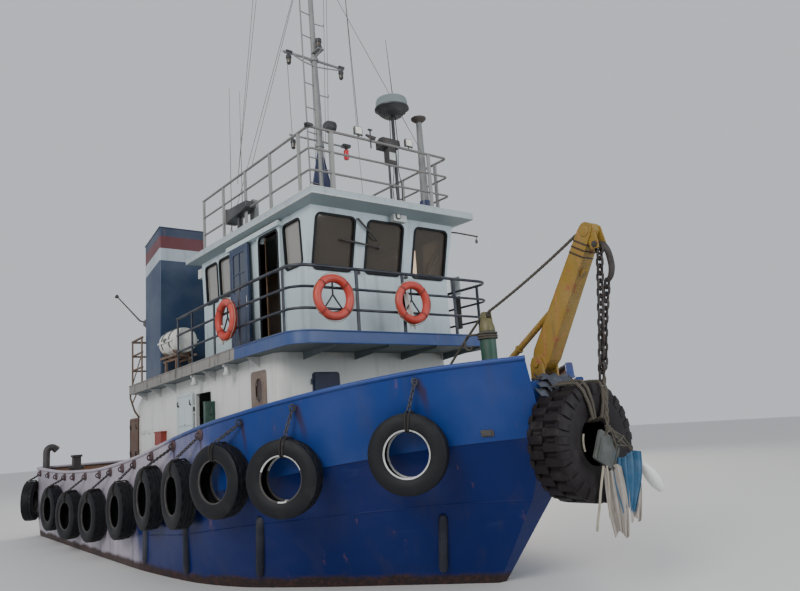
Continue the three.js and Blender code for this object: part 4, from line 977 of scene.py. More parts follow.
def make_tyre_ropes():
    """A chain from an eye to a rope loop round each tyre."""
    ropes, chains = Piece(), Piece()
    for i, angle in enumerate(TURNED):
        for name, side in SIDES.items():
            low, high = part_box(f"tyre_{name}_{i + 1}")
            middle = (low + high) / 2
            turn = Matrix.Rotation(radians(-side * angle), 3, "Z")
            outward, forward = turn @ (Y * side), turn @ X
            ahead = 0.42 if i >= UPRIGHT else 0.06
            x = min(EYES, key=lambda eye_x: abs(eye_x - (middle.x + ahead)))
            half, top = on_line(rail_line, x)
            eye = Vector((x, side * (half + 0.04), top - EYE_DROP - 0.05))
            for lean in (0.0, 0.1):
                a = radians(96 - (x - middle.x) * 24 if i >= UPRIGHT else 82) + lean
                radial = forward * cos(a) + Z * sin(a)
                ropes.tube([middle + radial * r + outward * w for r, w in LOOP], 0.013, 6, closed=True)
            hold = middle + (forward * cos(a - 0.05) + Z * sin(a - 0.05)) * 0.56 + outward * 0.05
            if (eye - hold).length > 0.12:
                chain(chains, [eye, hold], 0.075, 0.0085)
    ropes.done("tyre_ropes", coat.rope_dark)
    chains.done("tyre_chains", coat.dark_steel)


make_tyre_ropes()


# Deckhouse; its openings are given by x from aft to fore and z from low to high
HALF = 1.87  # half width of the deckhouse
FRONT, AFT = 3.96, -3.6  # x of its front and after walls


BRIDGE_TOP, LEVEL_FROM, FALL = 3.79, 3.4, 0.17 / 6.15
SLAB = 0.2  # thickness of the bridge deck


def bridge_top(x):
    """Top of the bridge deck, level forward and falling towards the stern."""
    return BRIDGE_TOP - max(0.0, LEVEL_FROM - x) * FALL


def after_wall(x):
    return wall_frame(Vector((x, 0, 0)), -Y, Z)


def side_wall(side, half=HALF):
    """Frame of an upright side wall, with u along X to starboard and against X to port."""
    return wall_frame(Vector((0, side * half, 0)), X * -side, Z)


def along_wall(side, a, b):
    """A range of x as a range of u on the side wall."""
    return (a, b) if side < 0 else (-b, -a)


def on_wall(side, opening):
    a, b, low, high = opening
    return (*along_wall(side, a, b), low, high)


def upright_bar(middle, half, low, high):
    """Outline of a bar in the wall's u and v."""
    return [(middle - half, low), (middle + half, low), (middle + half, high), (middle - half, high)]


MAIN_DOOR = (0.48, 1.26, 1.4, 3.19)
AFT_DOOR = (-3.5, -2.96, 1.18, 2.86)
PORT_PLATE = (2.95, 3.52, 2.67, 3.35)
PORTHOLE = (3.13, 3.37, 2.8, 3.22)


def make_deckhouse():
    for node in ("deckhouse_starboard", "deckhouse_port", "deckhouse_aft"):
        put(node, coat.house_paint)
    p = Piece()
    outer, inner = nose(FRONT, HALF, 0.22, 10), nose(FRONT - 0.06, HALF - 0.06, 0.16, 10)
    p.prism(outer + inner[::-1], "Z", 1.475, 3.5895)
    p.done("deckhouse_front_wall", coat.house_paint, replaces=["deckhouse_front"], slot="deckhouse_white")

    trim, gum, plate, blue, under = (Piece() for _ in range(5))
    for side in SIDES.values():
        at = side_wall(side)
        framed(trim, at, on_wall(side, MAIN_DOOR), 0.07, 0.035, 0.02, 0.013)
        if side < 0:
            framed(trim, at, AFT_DOOR, 0.05, 0.03, 0.015, 0.013)
        port = on_wall(side, PORTHOLE)
        hole = rounded(*port, 0.1185, 6)
        ring_of(plate, at, rounded(*on_wall(side, PORT_PLATE), 0.07, 6), hole, -0.005, 0.012)
        collar = rounded(*shrink(port, -0.028), 0.146, 6)
        ring_of(plate, at, collar, hole, -0.03, 0.019)
        pad_of(gum, at, hole, -0.012, -0.004)
        for k in range(14):
            turn = 2 * pi * k / 14
            u, v = (port[0] + port[1]) / 2 + 0.2 * cos(turn), 3.01 + 0.28 * sin(turn)
            plate.lathe([(0, 0), (0.012, 0), (0.009, 0.009), (0, 0.01)], at @ Vector((u, v, 0.011)),
                        Y * side, 6)
        # Plate seams, lamps on arms and knees under the overhang
        for x in (-1.6, 1.62, 2.86):
            trim.block(x, side * HALF, 0.012, 0.003, 1.5, bridge_top(x) - SLAB - 0.02)
        for x in (0.9, 2.4):
            top = bridge_top(x) - SLAB
            arm = ((HALF, top - 0.14), (HALF, top), (2.14, top), (2.14, top - 0.05))
            trim.prism([(side * y, z) for y, z in arm], "X", x - 0.03, x + 0.03)
            trim.tube([(x, side * 2.07, top - 0.002), (x, side * 2.07, top - 0.16)], 0.045, 12)
            trim.lathe([(0, 0), (0.06, 0), (0.075, 0.05), (0, 0.055)], (x, side * 2.07, top - 0.2), Z, 14)
        for x in (-2.4, -1.5, -0.6, 1.45, 3.3):
            top = bridge_top(x) - SLAB
            knee = ((1.86, top - 0.2), (1.86, top), (2.15, top))
            trim.prism([(side * y, z) for y, z in knee], "X", x - 0.006, x + 0.006)
    # Brackets under the front overhang, in the soffit's painted shade
    for y in (-1.4, -0.35, 0.7, 1.75):
        under.prism([(FRONT - 0.01, 3.46), (FRONT - 0.01, 3.59), (4.98, 3.59), (4.98, 3.555)], "Y",
                    y - 0.006, y + 0.006)
    under.done("front_brackets", coat.soffit_paint)
    # Blue cover on the front wall
    at = wall_frame(Vector((FRONT, 0, 0)), Y, Z)
    pad_of(blue, at, rounded(-1.23, -0.73, 2.36, 3.23, 0.05), -0.01, 0.055)
    ring_of(blue, at, rounded(-1.25, -0.71, 2.34, 3.25, 0.06), rounded(-1.19, -0.77, 2.4, 3.19, 0.04),
            -0.01, 0.03)
    for z in (2.5, 3.09):
        blue.tube([(FRONT + 0.03, -1.27, z - 0.05), (FRONT + 0.03, -1.27, z + 0.05)], 0.016, 10)
    trim.done("house_trim", coat.trim_white, bevel=0.003)
    gum.done("porthole_panes", coat.pane_rust)
    plate.done("porthole_plates", coat.rust_plate, bevel=0.002)
    blue.done("front_cover", coat.cover_blue, bevel=0.008)


make_deckhouse()


# Hand bars on the side walls, starboard and port, as x and z
HAND_BARS = {-1: ((-2.62, 2.5), (-2.62, 2.56), (-2.2, 2.56), (-2.2, 2.5)),
             1: ((1.55, 2.42), (1.55, 2.46), (3.4, 2.5), (3.4, 2.46))}


def make_house_extras():
    """Red box, a switch box, hand rails, conduits and after ports on the deckhouse walls."""
    red, green, bars, panes = (Piece() for _ in range(4))
    red.box((-1.57, -2.0, 2.22), (-1.18, -1.862, 2.5))
    red.box((-1.59, -2.01, 2.48), (-1.16, -1.862, 2.515))
    # Switch box with a small lever beside the doorway
    green.box((1.315, -2.07, 2.46), (1.4, -1.862, 2.96))
    green.box((1.31, -2.075, 2.93), (1.405, -1.862, 2.97))
    green.tube([(1.4, -1.97, 2.72), (1.45, -1.97, 2.74), (1.46, -1.97, 2.84)], 0.011, 8)
    for side in SIDES.values():
        bar = HAND_BARS[side]
        ends = [(x, side * HALF, z) for x, z in (bar[0], bar[-1])]
        bars.tube([ends[0], *[(x, side * (HALF + 0.06), z) for x, z in bar], ends[1]], 0.014, 8)
        # Conduit beside the after door
        bars.tube([(-2.87, side * 1.885, z) for z in (2.14, 2.79)], 0.02, 8)
    # After wall: two square ports with frames
    at = after_wall(AFT)
    for y in (-1.0, 1.0):
        limits = (y - 0.25, y + 0.25, 2.15, 2.65)
        ring_of(bars, at, rounded(*shrink(limits, -0.05), 0.1), rounded(*limits, 0.06), -0.005, 0.02)
        pad_of(panes, at, rounded(*limits, 0.06), -0.004, 0.006)
    red.done("red_box", coat.red_box, bevel=0.006)
    green.done("switch_box", coat.locker_green, bevel=0.004)
    bars.done("house_bars", coat.trim_white)
    panes.done("house_aft_panes", coat.glass_dark, bevel=0.002)


make_house_extras()


# Doors of the deckhouse, each with a rim, dogs and a handle
DOOR_OUT = 0.035  # how far a leaf stands off its wall
HOUSE_DOORS = (
    # node, side, opening, hinge, paint, slot, stiffened, dogs
    ("deckhouse_door_starboard", -1, (-0.43, 0.41, 1.37, 3.22), 0.43, coat.door_paint, "door_white", True, 3),
    ("deckhouse_door_port", 1, (-0.43, 0.41, 1.37, 3.22), 0.43, coat.door_paint, "door_white", True, 3),
    ("deckhouse_door_aft", -1, (-3.53, -2.93, 1.15, 2.89), -3.55, coat.brown_paint, "door_brown", False, 3),
)


def make_house_door(name, side, limits, hinge_x, material, slot, stiffened, dogs):
    a, b, low, high = limits
    p, metal = Piece(), Piece()
    at = side_wall(side, HALF + DOOR_OUT)
    span = along_wall(side, a, b)
    leaf = rounded(*span, low, high, 0.06)
    pad_of(p, at, leaf, -0.004, 0.006)
    ring_of(p, at, leaf, rounded(*shrink((*span, low, high), 0.05), 0.03), -0.0195, 0.0195)
    middle = sum(span) / 2
    if stiffened:
        for v in (low + 0.62, low + 1.22):
            pad_of(p, at, upright_bar(middle, (b - a) / 2 - 0.05, v - 0.02, v + 0.02), 0.004, 0.018)
        pad_of(p, at, upright_bar(middle, 0.018, low + 0.05, high - 0.05), 0.004, 0.018)
    out = Y * side
    for k in range(dogs):
        v = low + 0.26 + k * (high - low - 0.5) / (dogs - 1)
        for u in (span[0] + 0.09, span[1] - 0.09):
            root = at @ Vector((u, v, 0.018))
            metal.tube([root - out * 0.02, root + out * 0.022], 0.017, 10)
            arm = [root + out * 0.018, root + out * 0.026 + Z * 0.05, root + out * 0.02 + Z * 0.1]
            metal.tube(arm, (0.013, 0.012, 0.008), 8)
    free_edge = span[0] if side * (hinge_x - a) < 0 else span[1]
    handle = at @ Vector((free_edge * 0.78 + middle * 0.22, low + 0.95, 0.018))
    metal.tube([handle, handle + out * 0.04, handle + out * 0.04 - Z * 0.13, handle - Z * 0.13], 0.01, 8)
    y = side * (HALF + DOOR_OUT)
    for z in (low + 0.29, high - 0.39):
        metal.tube([(hinge_x, y, z), (hinge_x, y, z + 0.1)], 0.0078, 12)
        low_x, high_x = sorted((hinge_x, a + 0.015 if hinge_x < a else b - 0.015))
        metal.box((low_x, y - 0.005, z), (high_x, y + 0.005, z + 0.1))
    p.done(name + "_leaf", material, body=name, bevel=0.002, replaces=[name], slot=slot)
    metal.done(name + "_dogs", coat.dark_steel, body=name)


for door in HOUSE_DOORS:
    make_house_door(*door)


# Bridge deck
BRIDGE_AFT, BRIDGE_FRONT, BRIDGE_HALF = -2.75, 5.06, 2.18
BLUE_FROM = 2.95  # the fascia is grey aft of this


def make_bridge_deck():
    p = Piece()
    front = nose(BRIDGE_FRONT, BRIDGE_HALF, 0.35, 10)
    fore = [(LEVEL_FROM, -BRIDGE_HALF), *front, (LEVEL_FROM, BRIDGE_HALF)]
    stations = (BRIDGE_AFT, BLUE_FROM, LEVEL_FROM)
    aft = [(x, -BRIDGE_HALF) for x in stations] + [(x, BRIDGE_HALF) for x in reversed(stations)]
    for line in (fore, aft):
        p.skin([[(x, y, bridge_top(x) - drop) for x, y in line] for drop in (SLAB, 0.0)])
    p.bm.normal_update()
    for face in p.bm.faces:
        middle = face.calc_center_median()
        # Faces looking up get the deck paint; faces looking down get painted shade, the soffit colour
        if abs(face.normal.z) > 0.9:
            face.material_index = 2 if middle.z > bridge_top(middle.x) - 0.1 else 3
        elif middle.x > BLUE_FROM:
            face.material_index = 1
    p.done("bridge_slab", [coat.fascia_grey, coat.fascia_blue, coat.deck_paint, coat.soffit_paint],
           bevel=0.006, replaces=["bridge_deck"], slot="deck_grey")
    lips = Piece()
    blue_line = [(BLUE_FROM, -BRIDGE_HALF), *front, (BLUE_FROM, BRIDGE_HALF)]
    drops = (0.004, SLAB - 0.004)
    for drop in drops:
        lips.tube([(x, y, bridge_top(x) - drop) for x, y in blue_line], 0.014, 8, mat=1)
    for y in (-BRIDGE_HALF, BRIDGE_HALF):
        for drop in drops:
            lips.tube([(x, y, bridge_top(x) - drop) for x in (BRIDGE_AFT, BLUE_FROM)], 0.013, 8)
        for k in range(7):
            x = BRIDGE_AFT + 0.4 + 0.85 * k
            lips.block(x, y, 0.03, 0.02, bridge_top(x) - 0.16, bridge_top(x) - 0.02)
    lips.done("bridge_edge", [coat.fascia_grey, coat.fascia_blue], bevel=0.002)


make_bridge_deck()


# Raft rack, canister and its straps
RAFT = Vector((-0.31, -1.93, 4.33))


def round_raft(radius, angles):
    """Points (y, z) about the raft's axis, at angles in degrees that turn upward from its port side."""
    return [(RAFT.y + radius * cos(radians(a)), RAFT.z + radius * sin(radians(a))) for a in angles]


def make_raft():
    rack = Piece()
    for dx in (-0.3, 0.3):
        x = RAFT.x + dx
        for y in (-0.14, 0.14):
            rack.block(x, RAFT.y + y, 0.03, 0.025, bridge_top(x) - 0.03, RAFT.z - 0.2)
        rack.block(x, RAFT.y, 0.03, 0.23, RAFT.z - 0.34, RAFT.z - 0.28)
        cradle = round_raft(0.285, range(-138, -41, 8)) + round_raft(0.31, range(-42, -139, -8))
        rack.prism(cradle, "X", x - 0.025, x + 0.025)
    for z, half, spread in ((3.95, 0.45, 0.14), (4.02, 0.47, 0.2)):
        for y in (-spread, spread):
            rack.block(RAFT.x, RAFT.y + y, half, 0.022, z - 0.025, z + 0.02)
    rack.done("raft_rack", coat.rail_rust, bevel=0.003)
    p = Piece()
    profile = [(0, -0.478), (0.12, -0.476), (0.2, -0.462), (0.245, -0.43), (0.262, -0.395)]
    for k in range(5):
        x = -0.38 + 0.152 * k
        profile += [(0.262, x), (0.272, x + 0.012), (0.272, x + 0.058), (0.262, x + 0.07),
                    (0.256, x + 0.085), (0.256, x + 0.135)]
    profile += [(0.262, 0.39), (0.25, 0.43), (0.2, 0.462), (0.12, 0.476), (0, 0.478)]
    p.lathe(profile, RAFT, X, 40)
    for y in (-1, 1):
        p.block(RAFT.x, RAFT.y + y * 0.276, 0.41, 0.012, RAFT.z - 0.02, RAFT.z + 0.02)
    p.done("raft_canister", coat.raft_white, replaces=["life_raft"], slot="raft_white", smooth=40)
    straps = Piece()
    for x in (RAFT.x - 0.2, RAFT.x + 0.2):
        for offset in (-0.014, 0.0, 0.014):
            straps.tube([(x + offset, y, z) for y, z in round_raft(0.281, range(-30, 211, 12))], 0.0085, 6)
    straps.lathe([(0, 0), (0.045, 0), (0.05, 0.02), (0.03, 0.05), (0, 0.052)],
                 RAFT + Vector((0.02, -0.27, 0.03)), -Y, 16)
    straps.done("raft_straps", coat.strap_grey)


make_raft()


# Rails: round bars on flat posts
def rail_path(aft, front, half, corner):
    return [(aft, -half), *nose(front, half, corner, 8), (aft, half)]


BRIDGE_RAIL = {"height": 1.032, "shares": (1, 0.67, 0.34), "half": 2.13, "front": 5.01}
# Radius and line of the stanchion and braces that run down past the edge of the deck
RAIL_BRACES = (
    (0.022, ((-2.74, 2.14, 3.62), (-2.79, 2.14, 3.35), (-2.86, 2.02, 3.05), (-2.98, 1.88, 2.9))),
    (0.016, ((-2.4, 2.12, 3.42), (-2.8, 2.1, 3.2))),
    (0.014, ((-2.66, 2.13, 3.65), (-2.0, 2.13, 4.3))),
)


def make_bridge_rail():
    front, rusty = Piece(), Piece()
    height, half = BRIDGE_RAIL["height"], BRIDGE_RAIL["half"]
    plan = rail_path(0.19, BRIDGE_RAIL["front"], half, 0.3)
    plan = [plan[0], (LEVEL_FROM, -half), *plan[1:-1], (LEVEL_FROM, half), plan[-1]]
    aft_plan = [(-1.95, -half), (-2.66, -half), (-2.7, -half + 0.04), (-2.7, half - 0.04), (-2.66, half),
                (-1.95, half)]
    for share in BRIDGE_RAIL["shares"]:
        radius = 0.028 if share == 1 else 0.023
        front.tube([(x, y, bridge_top(x) + height * share) for x, y in plan], radius, 12)
        rusty.tube([(x, y, bridge_top(x) + height * share) for x, y in aft_plan], radius, 10)
    foot = [(-2.7, -1.8), (-2.7, -half), (0.19, -half)]
    for side in SIDES.values():
        rusty.tube([(x, -side * y, bridge_top(x) + 0.014) for x, y in foot], 0.016, 6)
        front.tube([(x, side * half, bridge_top(x) + 0.014) for x in (0.19, LEVEL_FROM, 4.7)], 0.016, 6)
        for x in (0.235, 0.98, 2.04, 3.1, 4.66):
            z = bridge_top(x)
            front.block(x, side * half, 0.028, 0.011, z - 0.005, z + height)
            front.box((x - 0.06, side * half - 0.045, z - 0.002), (x + 0.06, side * half + 0.03, z + 0.01))
        for x in (-1.995, -2.655):
            z = bridge_top(x)
            rusty.block(x, side * half, 0.028, 0.013, z - 0.005, z + height)
        for radius, line in RAIL_BRACES:
            rusty.tube([(x, side * y, z) for x, y, z in line], radius, 8)
    for y in (-0.96, 0, 1.19):
        x = BRIDGE_RAIL["front"]
        front.block(x, y, 0.011, 0.028, BRIDGE_TOP - 0.005, BRIDGE_TOP + height)
        front.box((x - 0.045, y - 0.06, BRIDGE_TOP - 0.002), (x + 0.03, y + 0.06, BRIDGE_TOP + 0.01))
    front.done("rail_front", coat.rail_blue, replaces=["bridge_rail"], slot="rail_dark")
    rusty.done("rail_aft", coat.rail_rust)


make_bridge_rail()


# Life rings with seizings, a grab line and a three-armed holder
RING = {"radius": 0.305, "tube": 0.0685, "line": 0.374}


def make_ring(node, out, across):
    low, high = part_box(node)
    at = Matrix.Translation((low + high) / 2) @ Matrix((across, Z, out)).transposed().to_4x4()
    ring, bands, line, holder = (Piece(at) for _ in range(4))
    ring.torus((0, 0, 0), Z, RING["radius"], RING["tube"], 56, 18)
    for k in range(4):
        a = radians(45 + 90 * k)
        centre = Vector((cos(a), sin(a), 0)) * RING["radius"]
        tangent = Vector((-sin(a), cos(a), 0))
        for shift in (-0.014, 0.0, 0.014):
            bands.torus(centre + tangent * shift, tangent, 0.069, 0.006, 20, 6)
        span = [a + radians(90) * t / 10 for t in range(11)]
        reach = [RING["line"] + 0.022 * sin(pi * t / 10) for t in range(11)]
        line.tube([(r * cos(b), r * sin(b), 0.012) for r, b in zip(reach, span)], 0.006, 6)
    holder.tube([(0, 0.24, -0.03), (0, 0.03, -0.03)], 0.015, 8)
    for u in (-1, 1):
        holder.tube([(0, 0.05, -0.03), (u * 0.07, -0.05, -0.03), (u * 0.19, -0.2, -0.03)], 0.014, 8)
    holder.tube([(-0.2, -0.2, -0.034), (0, -0.235, -0.034), (0.2, -0.2, -0.034)], 0.015, 8)
    ring.done(node + "_ring", coat.ring_orange, replaces=[node], slot="ring_orange", smooth=60)
    bands.done(node + "_bands", coat.band_red)
    line.done(node + "_line", coat.rope_pale)
    holder.done(node + "_holder", coat.holder_black)


make_ring("life_ring_front_starboard", X, Y)
make_ring("life_ring_front_port", X, Y)
make_ring("life_ring_side", -Y, X)


# Finishes of the wheelhouse: pale paint outside, brown lining inside
LEAN = 0.25 / 1.05  # how far the front leans forward for each metre above its sills
SIDE_LEAN = 0.04 / 1.05  # and the sides outward
SILL = 4.9
CABIN = {"aft": 0.2, "front": 4.45, "half": 1.54}  # its walls at the sills
LINING = {"aft": 0.24, "front": 4.405, "half": 1.528}  # their inner faces


def cabin_finish(name, base):
    s = Shader(name)
    x, y, z = s.axes()
    paint, worn = weather(s, base, 0.12, 0.5, 1.2)
    leaning = s.sub(x, s.mul(s.math("MAXIMUM", s.sub(z, SILL), 0.0), LEAN))
    off_side = s.math("LESS_THAN", s.math("ABSOLUTE", y), LINING["half"])
    off_front = s.math("LESS_THAN", leaning, LINING["front"])
    off_aft = s.math("GREATER_THAN", x, LINING["aft"])
    inner = s.mul(s.mul(off_side, off_front), off_aft)
    wood = s.mix(s.noise(9, 4, stretch=(1, 1, 0.15)), (0.24, 0.15, 0.09), (0.38, 0.25, 0.16))
    s.set(base_color=s.mix(inner, paint, wood), roughness=s.add(0.4, s.mul(worn, 0.35)))
    s.bump(s.dents(1.2, 3), 0.3)
    return s.mat


def roof_finish():
    """Pale paint above, and painted shade under the overhang."""
    s = Shader("roof_paint_and_shade")
    paint, worn = weather(s, (0.36, 0.42, 0.45), 0.12, 0.6, 1.1)
    # Below the eaves the roof takes a darker colour: painted shade on the underside of the overhang
    color = s.mix(s.step(s.axes()[2], 6.004, 6.008), (0.27, 0.33, 0.35), paint)
    s.set(base_color=color, roughness=s.add(0.5, s.mul(worn, 0.3)))
    s.bump(s.dents(1.2, 3), 0.25)
    return s.mat


cabin_paint = cabin_finish("cabin_paint", (0.47, 0.56, 0.6))
roof_paint_and_shade = roof_finish()

FRONT_PANES = (-1.06, 0.0, 1.06)
FRONT_PANE = {"half": 0.395, "low": 4.925, "high": 5.835}
SIDE_PANES = ((0.4, 0.98), (1.08, 1.6), (3.76, 4.33))
SIDE_PANE = {"low": 5.02, "high": 5.82}
AFT_PANES = (-0.85, 0.85)
CABIN_DOOR = (2.93, 3.65, 3.85, 5.8)
DOOR_CASE, DOOR_TRACK = 1.63, 1.662  # distance of the doorway's case and of the sliding leaf from the middle
EAVES = 1.78  # half width of the roof


def cabin_frame(face):
    """Frame of the leaning window band, with v = 0 at the sill line."""
    if face == "front":
        up = Vector((LEAN, 0, 1)).normalized()
        return wall_frame(Vector((CABIN["front"], 0, SILL)), Y, up), hypot(LEAN, 1)
    side = SIDES[face]
    up = Vector((0, side * SIDE_LEAN, 1)).normalized()
    return wall_frame(Vector((0, side * CABIN["half"], SILL)), X * -side, up), hypot(SIDE_LEAN, 1)


def window(paint, gum, glass, at, limits, radius=0.1):
    """Corner infill in the wall's paint, a black section round it and a pane."""
    inner = rounded(*limits, radius, 6)
    ring_of(paint, at, rounded(*shrink(limits, -0.012), 0.014, 6), inner, -0.058, 0.003)
    lip = rounded(*shrink(limits, -0.018), radius + 0.014, 6)
    hole = rounded(*shrink(limits, 0.02), radius - 0.02, 6)
    ring_of(gum, at, lip, hole, -0.066, 0.016)
    pad_of(glass, at, rounded(*shrink(limits, 0.012), radius - 0.012, 6), -0.034, -0.027)


def make_wheelhouse():
    for node in ("wheelhouse_front", "wheelhouse_starboard", "wheelhouse_port", "wheelhouse_aft"):
        put(node, cabin_paint)
    put("wheelhouse_roof", roof_paint_and_shade)
    paint, gum, glass, side_glass, trim = (Piece() for _ in range(5))
    at, scale = cabin_frame("front")
    for y in FRONT_PANES:
        half, low, high = (FRONT_PANE[key] for key in ("half", "low", "high"))
        limits = (y - half, y + half, (low - SILL) * scale, (high - SILL) * scale)
        window(paint, gum, glass, at, limits)
    for name, side in SIDES.items():
        at, scale = cabin_frame(name)
        low, high = ((SIDE_PANE[key] - SILL) * scale for key in ("low", "high"))
        for a, b in SIDE_PANES:
            window(paint, gum, side_glass, at, (*along_wall(side, a, b), low, high), 0.08)
        # Doorway: a black section inside the raised frame, a threshold and a gutter
        upright = side_wall(side, DOOR_CASE)
        limits = on_wall(side, CABIN_DOOR)
        ring_of(paint, upright, rounded(*shrink(limits, -0.01), 0.012, 6), rounded(*limits, 0.09, 6), -0.13,
                0.002)
        ring_of(gum, upright, rounded(*shrink(limits, -0.018), 0.1, 6),
                rounded(*shrink(limits, 0.018), 0.075, 6), -0.02, 0.012)
        trim.block(2.71, side * 1.665, 1.06, 0.02, 5.9, 5.925)
        low_rail = bridge_top(2) + 0.02
        trim.block(2.7, side * DOOR_TRACK, 1.05, 0.03, low_rail - 0.025, low_rail)
        # Grab bar beside the doorway
        trim.tube([(3.72, side * y, z) for y, z in ((1.54, 4.4), (1.6, 4.4), (1.6, 5.0), (1.55, 5.0))],
                  0.014, 8)
    for y in AFT_PANES:
        window(paint, gum, glass, after_wall(CABIN["aft"]), (y - 0.35, y + 0.35, 5.02, 5.78), 0.08)
    paint.done("window_corners", cabin_paint)
    gum.done("window_frames", coat.black_gum, smooth=40)
    glass.done("window_panes", coat.glass_brown)
    side_glass.done("window_panes_side", coat.glass_pale)
    # Thin lip along the edge of the roof
    edge = [(5.09, -EAVES), (5.09, EAVES), (-0.18, EAVES), (-0.18, -EAVES)]
    for z, radius in ((6.008, 0.016), (6.118, 0.012)):
        trim.tube([(x - 0.004 * (1 if x > 0 else -1), y * 0.998, z) for x, y in edge], radius, 8, closed=True)
    trim.done("cabin_trim", coat.trim_white, bevel=0.003)


make_wheelhouse()


def make_cabin_gear():
    """Lamp box, wipers and their motors, port lamp arm, blank board and the lamps aft."""
    box, dark, lens = Piece(), Piece(), Piece()
    at, _ = cabin_frame("front")
    # Box lamp over the middle window
    box.box((4.72, 0.06, 5.84), (4.83, 0.36, 6.02))
    box.box((4.7, 0.03, 5.995), (4.85, 0.39, 6.01))
    dark.lathe([(0, 0), (0.06, 0), (0.06, 0.014), (0.045, 0.018), (0, 0.018)], (4.828, 0.16, 5.93), X, 20)
    lens.lathe([(0, 0), (0.043, 0), (0.036, 0.02), (0, 0.026)], (4.834, 0.16, 5.93), X, 20)
    # Wipers: an arm from a motor below each of two panes, and long bars across them
    bars = (((-0.93, 0.56), (-0.13, 0.5)), ((-0.64, 0.95), (-0.2, 0.62)))
    for (u0, v0), (u1, v1) in bars:
        a, b = at @ Vector((u0, v0, 0.05)), at @ Vector((u1, v1, 0.05))
        dark.tube([a, a.lerp(b, 0.5), b], (0.02, 0.018, 0.012), 8)
        for end, (u, v) in ((a, (u0, v0)), (b, (u1, v1))):
            dark.tube([end, at @ Vector((u, v, -0.02))], 0.009, 6)
    for u, v in ((-0.13, 0.5), (0.53, 0.02), (-0.53, 0.02)):
        dark.lathe([(0, -0.04), (0.03, -0.04), (0.034, 0.0), (0.026, 0.05), (0, 0.055)],
                   at @ Vector((u, v, 0)), at.to_3x3() @ Z, 14)
    a, b = at @ Vector((1.02, 0.04, 0.045)), at @ Vector((1.18, 0.42, 0.03))
    dark.tube([a, b], (0.009, 0.006), 6)
    dark.tube([b - Z * 0.2 - Y * 0.08, b + Z * 0.2 + Y * 0.08], 0.007, 6)
    # Arm off the port corner with a small hanging lamp
    arm = [(4.6, 1.5, 5.86), (4.72, 1.66, 5.83), (4.9, 2.05, 5.75)]
    dark.tube(arm, 0.016, 8)
    dark.tube([(4.885, 2.02, 5.755), (4.885, 2.02, 5.69)], 0.008, 6)
    dark.lathe([(0, 0), (0.022, 0), (0.028, 0.03), (0.02, 0.07), (0, 0.075)], (4.885, 2.02, 5.62), Z, 12)
    dark.tube([(4.6, 1.5, 5.86), (4.56, 1.46, 5.82)], 0.03, 10)
    # Blank board on the port rail with a dark panel below it
    box.box((3.94, 2.112, 4.74), (4.22, 2.126, 5.12))
    dark.box((4.02, 2.1, 4.06), (4.2, 2.115, 4.72))
    # Lamps at the after corners of the wheelhouse
    for side in SIDES.values():
        y = side * 1.5
        box.block(0.105, y, 0.085, 0.09, 5.66, 5.86)
        lens.block(0.018, y, 0.006, 0.07, 5.69, 5.83)
        dark.tube([(0.11, y, 5.85), (0.11, y, 6.0)], 0.014, 8)
    box.done("cabin_boxes", coat.trim_white, bevel=0.005)
    dark.done("cabin_arms", coat.dark_steel)
    lens.done("cabin_lenses", coat.lamp_glass)


make_cabin_gear()


DOOR_LEAF = (1.79, 2.57, 3.83, 5.8347)
DOOR_PANE = (1.93, 2.43, 4.95, 5.7)


def make_sliding_door(name):
    side = SIDES[name]
    p, glass, metal = Piece(), Piece(), Piece()
    at = side_wall(side, DOOR_TRACK)
    leaf, hole = on_wall(side, DOOR_LEAF), on_wall(side, DOOR_PANE)
    ring_of(p, at, rounded(*leaf, 0.03, 5), rounded(*hole, 0.05, 5), -0.016, 0.016)
    rim = rounded(*shrink(leaf, 0.004), 0.03, 5)
    ring_of(p, at, rim, rounded(*shrink(leaf, 0.06), 0.02, 5), -0.0198, 0.0198)
    panel = (leaf[0] + 0.14, leaf[1] - 0.14, 4.0, 4.8)
    ring_of(p, at, rounded(*panel, 0.03), rounded(*shrink(panel, 0.03), 0.02), 0.0, 0.0198)
    middle = sum(hole[:2]) / 2
    pad_of(p, at, upright_bar(middle, 0.014, 4.94, 5.71), -0.012, 0.014)
    pad_of(p, at, upright_bar(middle, 0.25, 5.3, 5.325), -0.012, 0.014)
    pad_of(glass, at, rounded(*shrink(hole, -0.01), 0.06), -0.004, 0.002)
    grip = leaf[1] - 0.09 if side < 0 else leaf[0] + 0.09
    line = [(grip, 4.62, 0.014), (grip, 4.62, 0.0188), (grip, 4.82, 0.0188), (grip, 4.82, 0.014)]
    metal.tube([at @ Vector(q) for q in line], 0.006, 6)
    body = f"wheelhouse_door_{name}"
    p.done(f"sliding_door_{name}", coat.door_blue, body=body, replaces=[body], slot="door_blue")
    glass.done(f"sliding_pane_{name}", coat.glass_blue, body=body)
    metal.done(f"sliding_grip_{name}", coat.trim_white, body=body)


for name in SIDES:
    make_sliding_door(name)


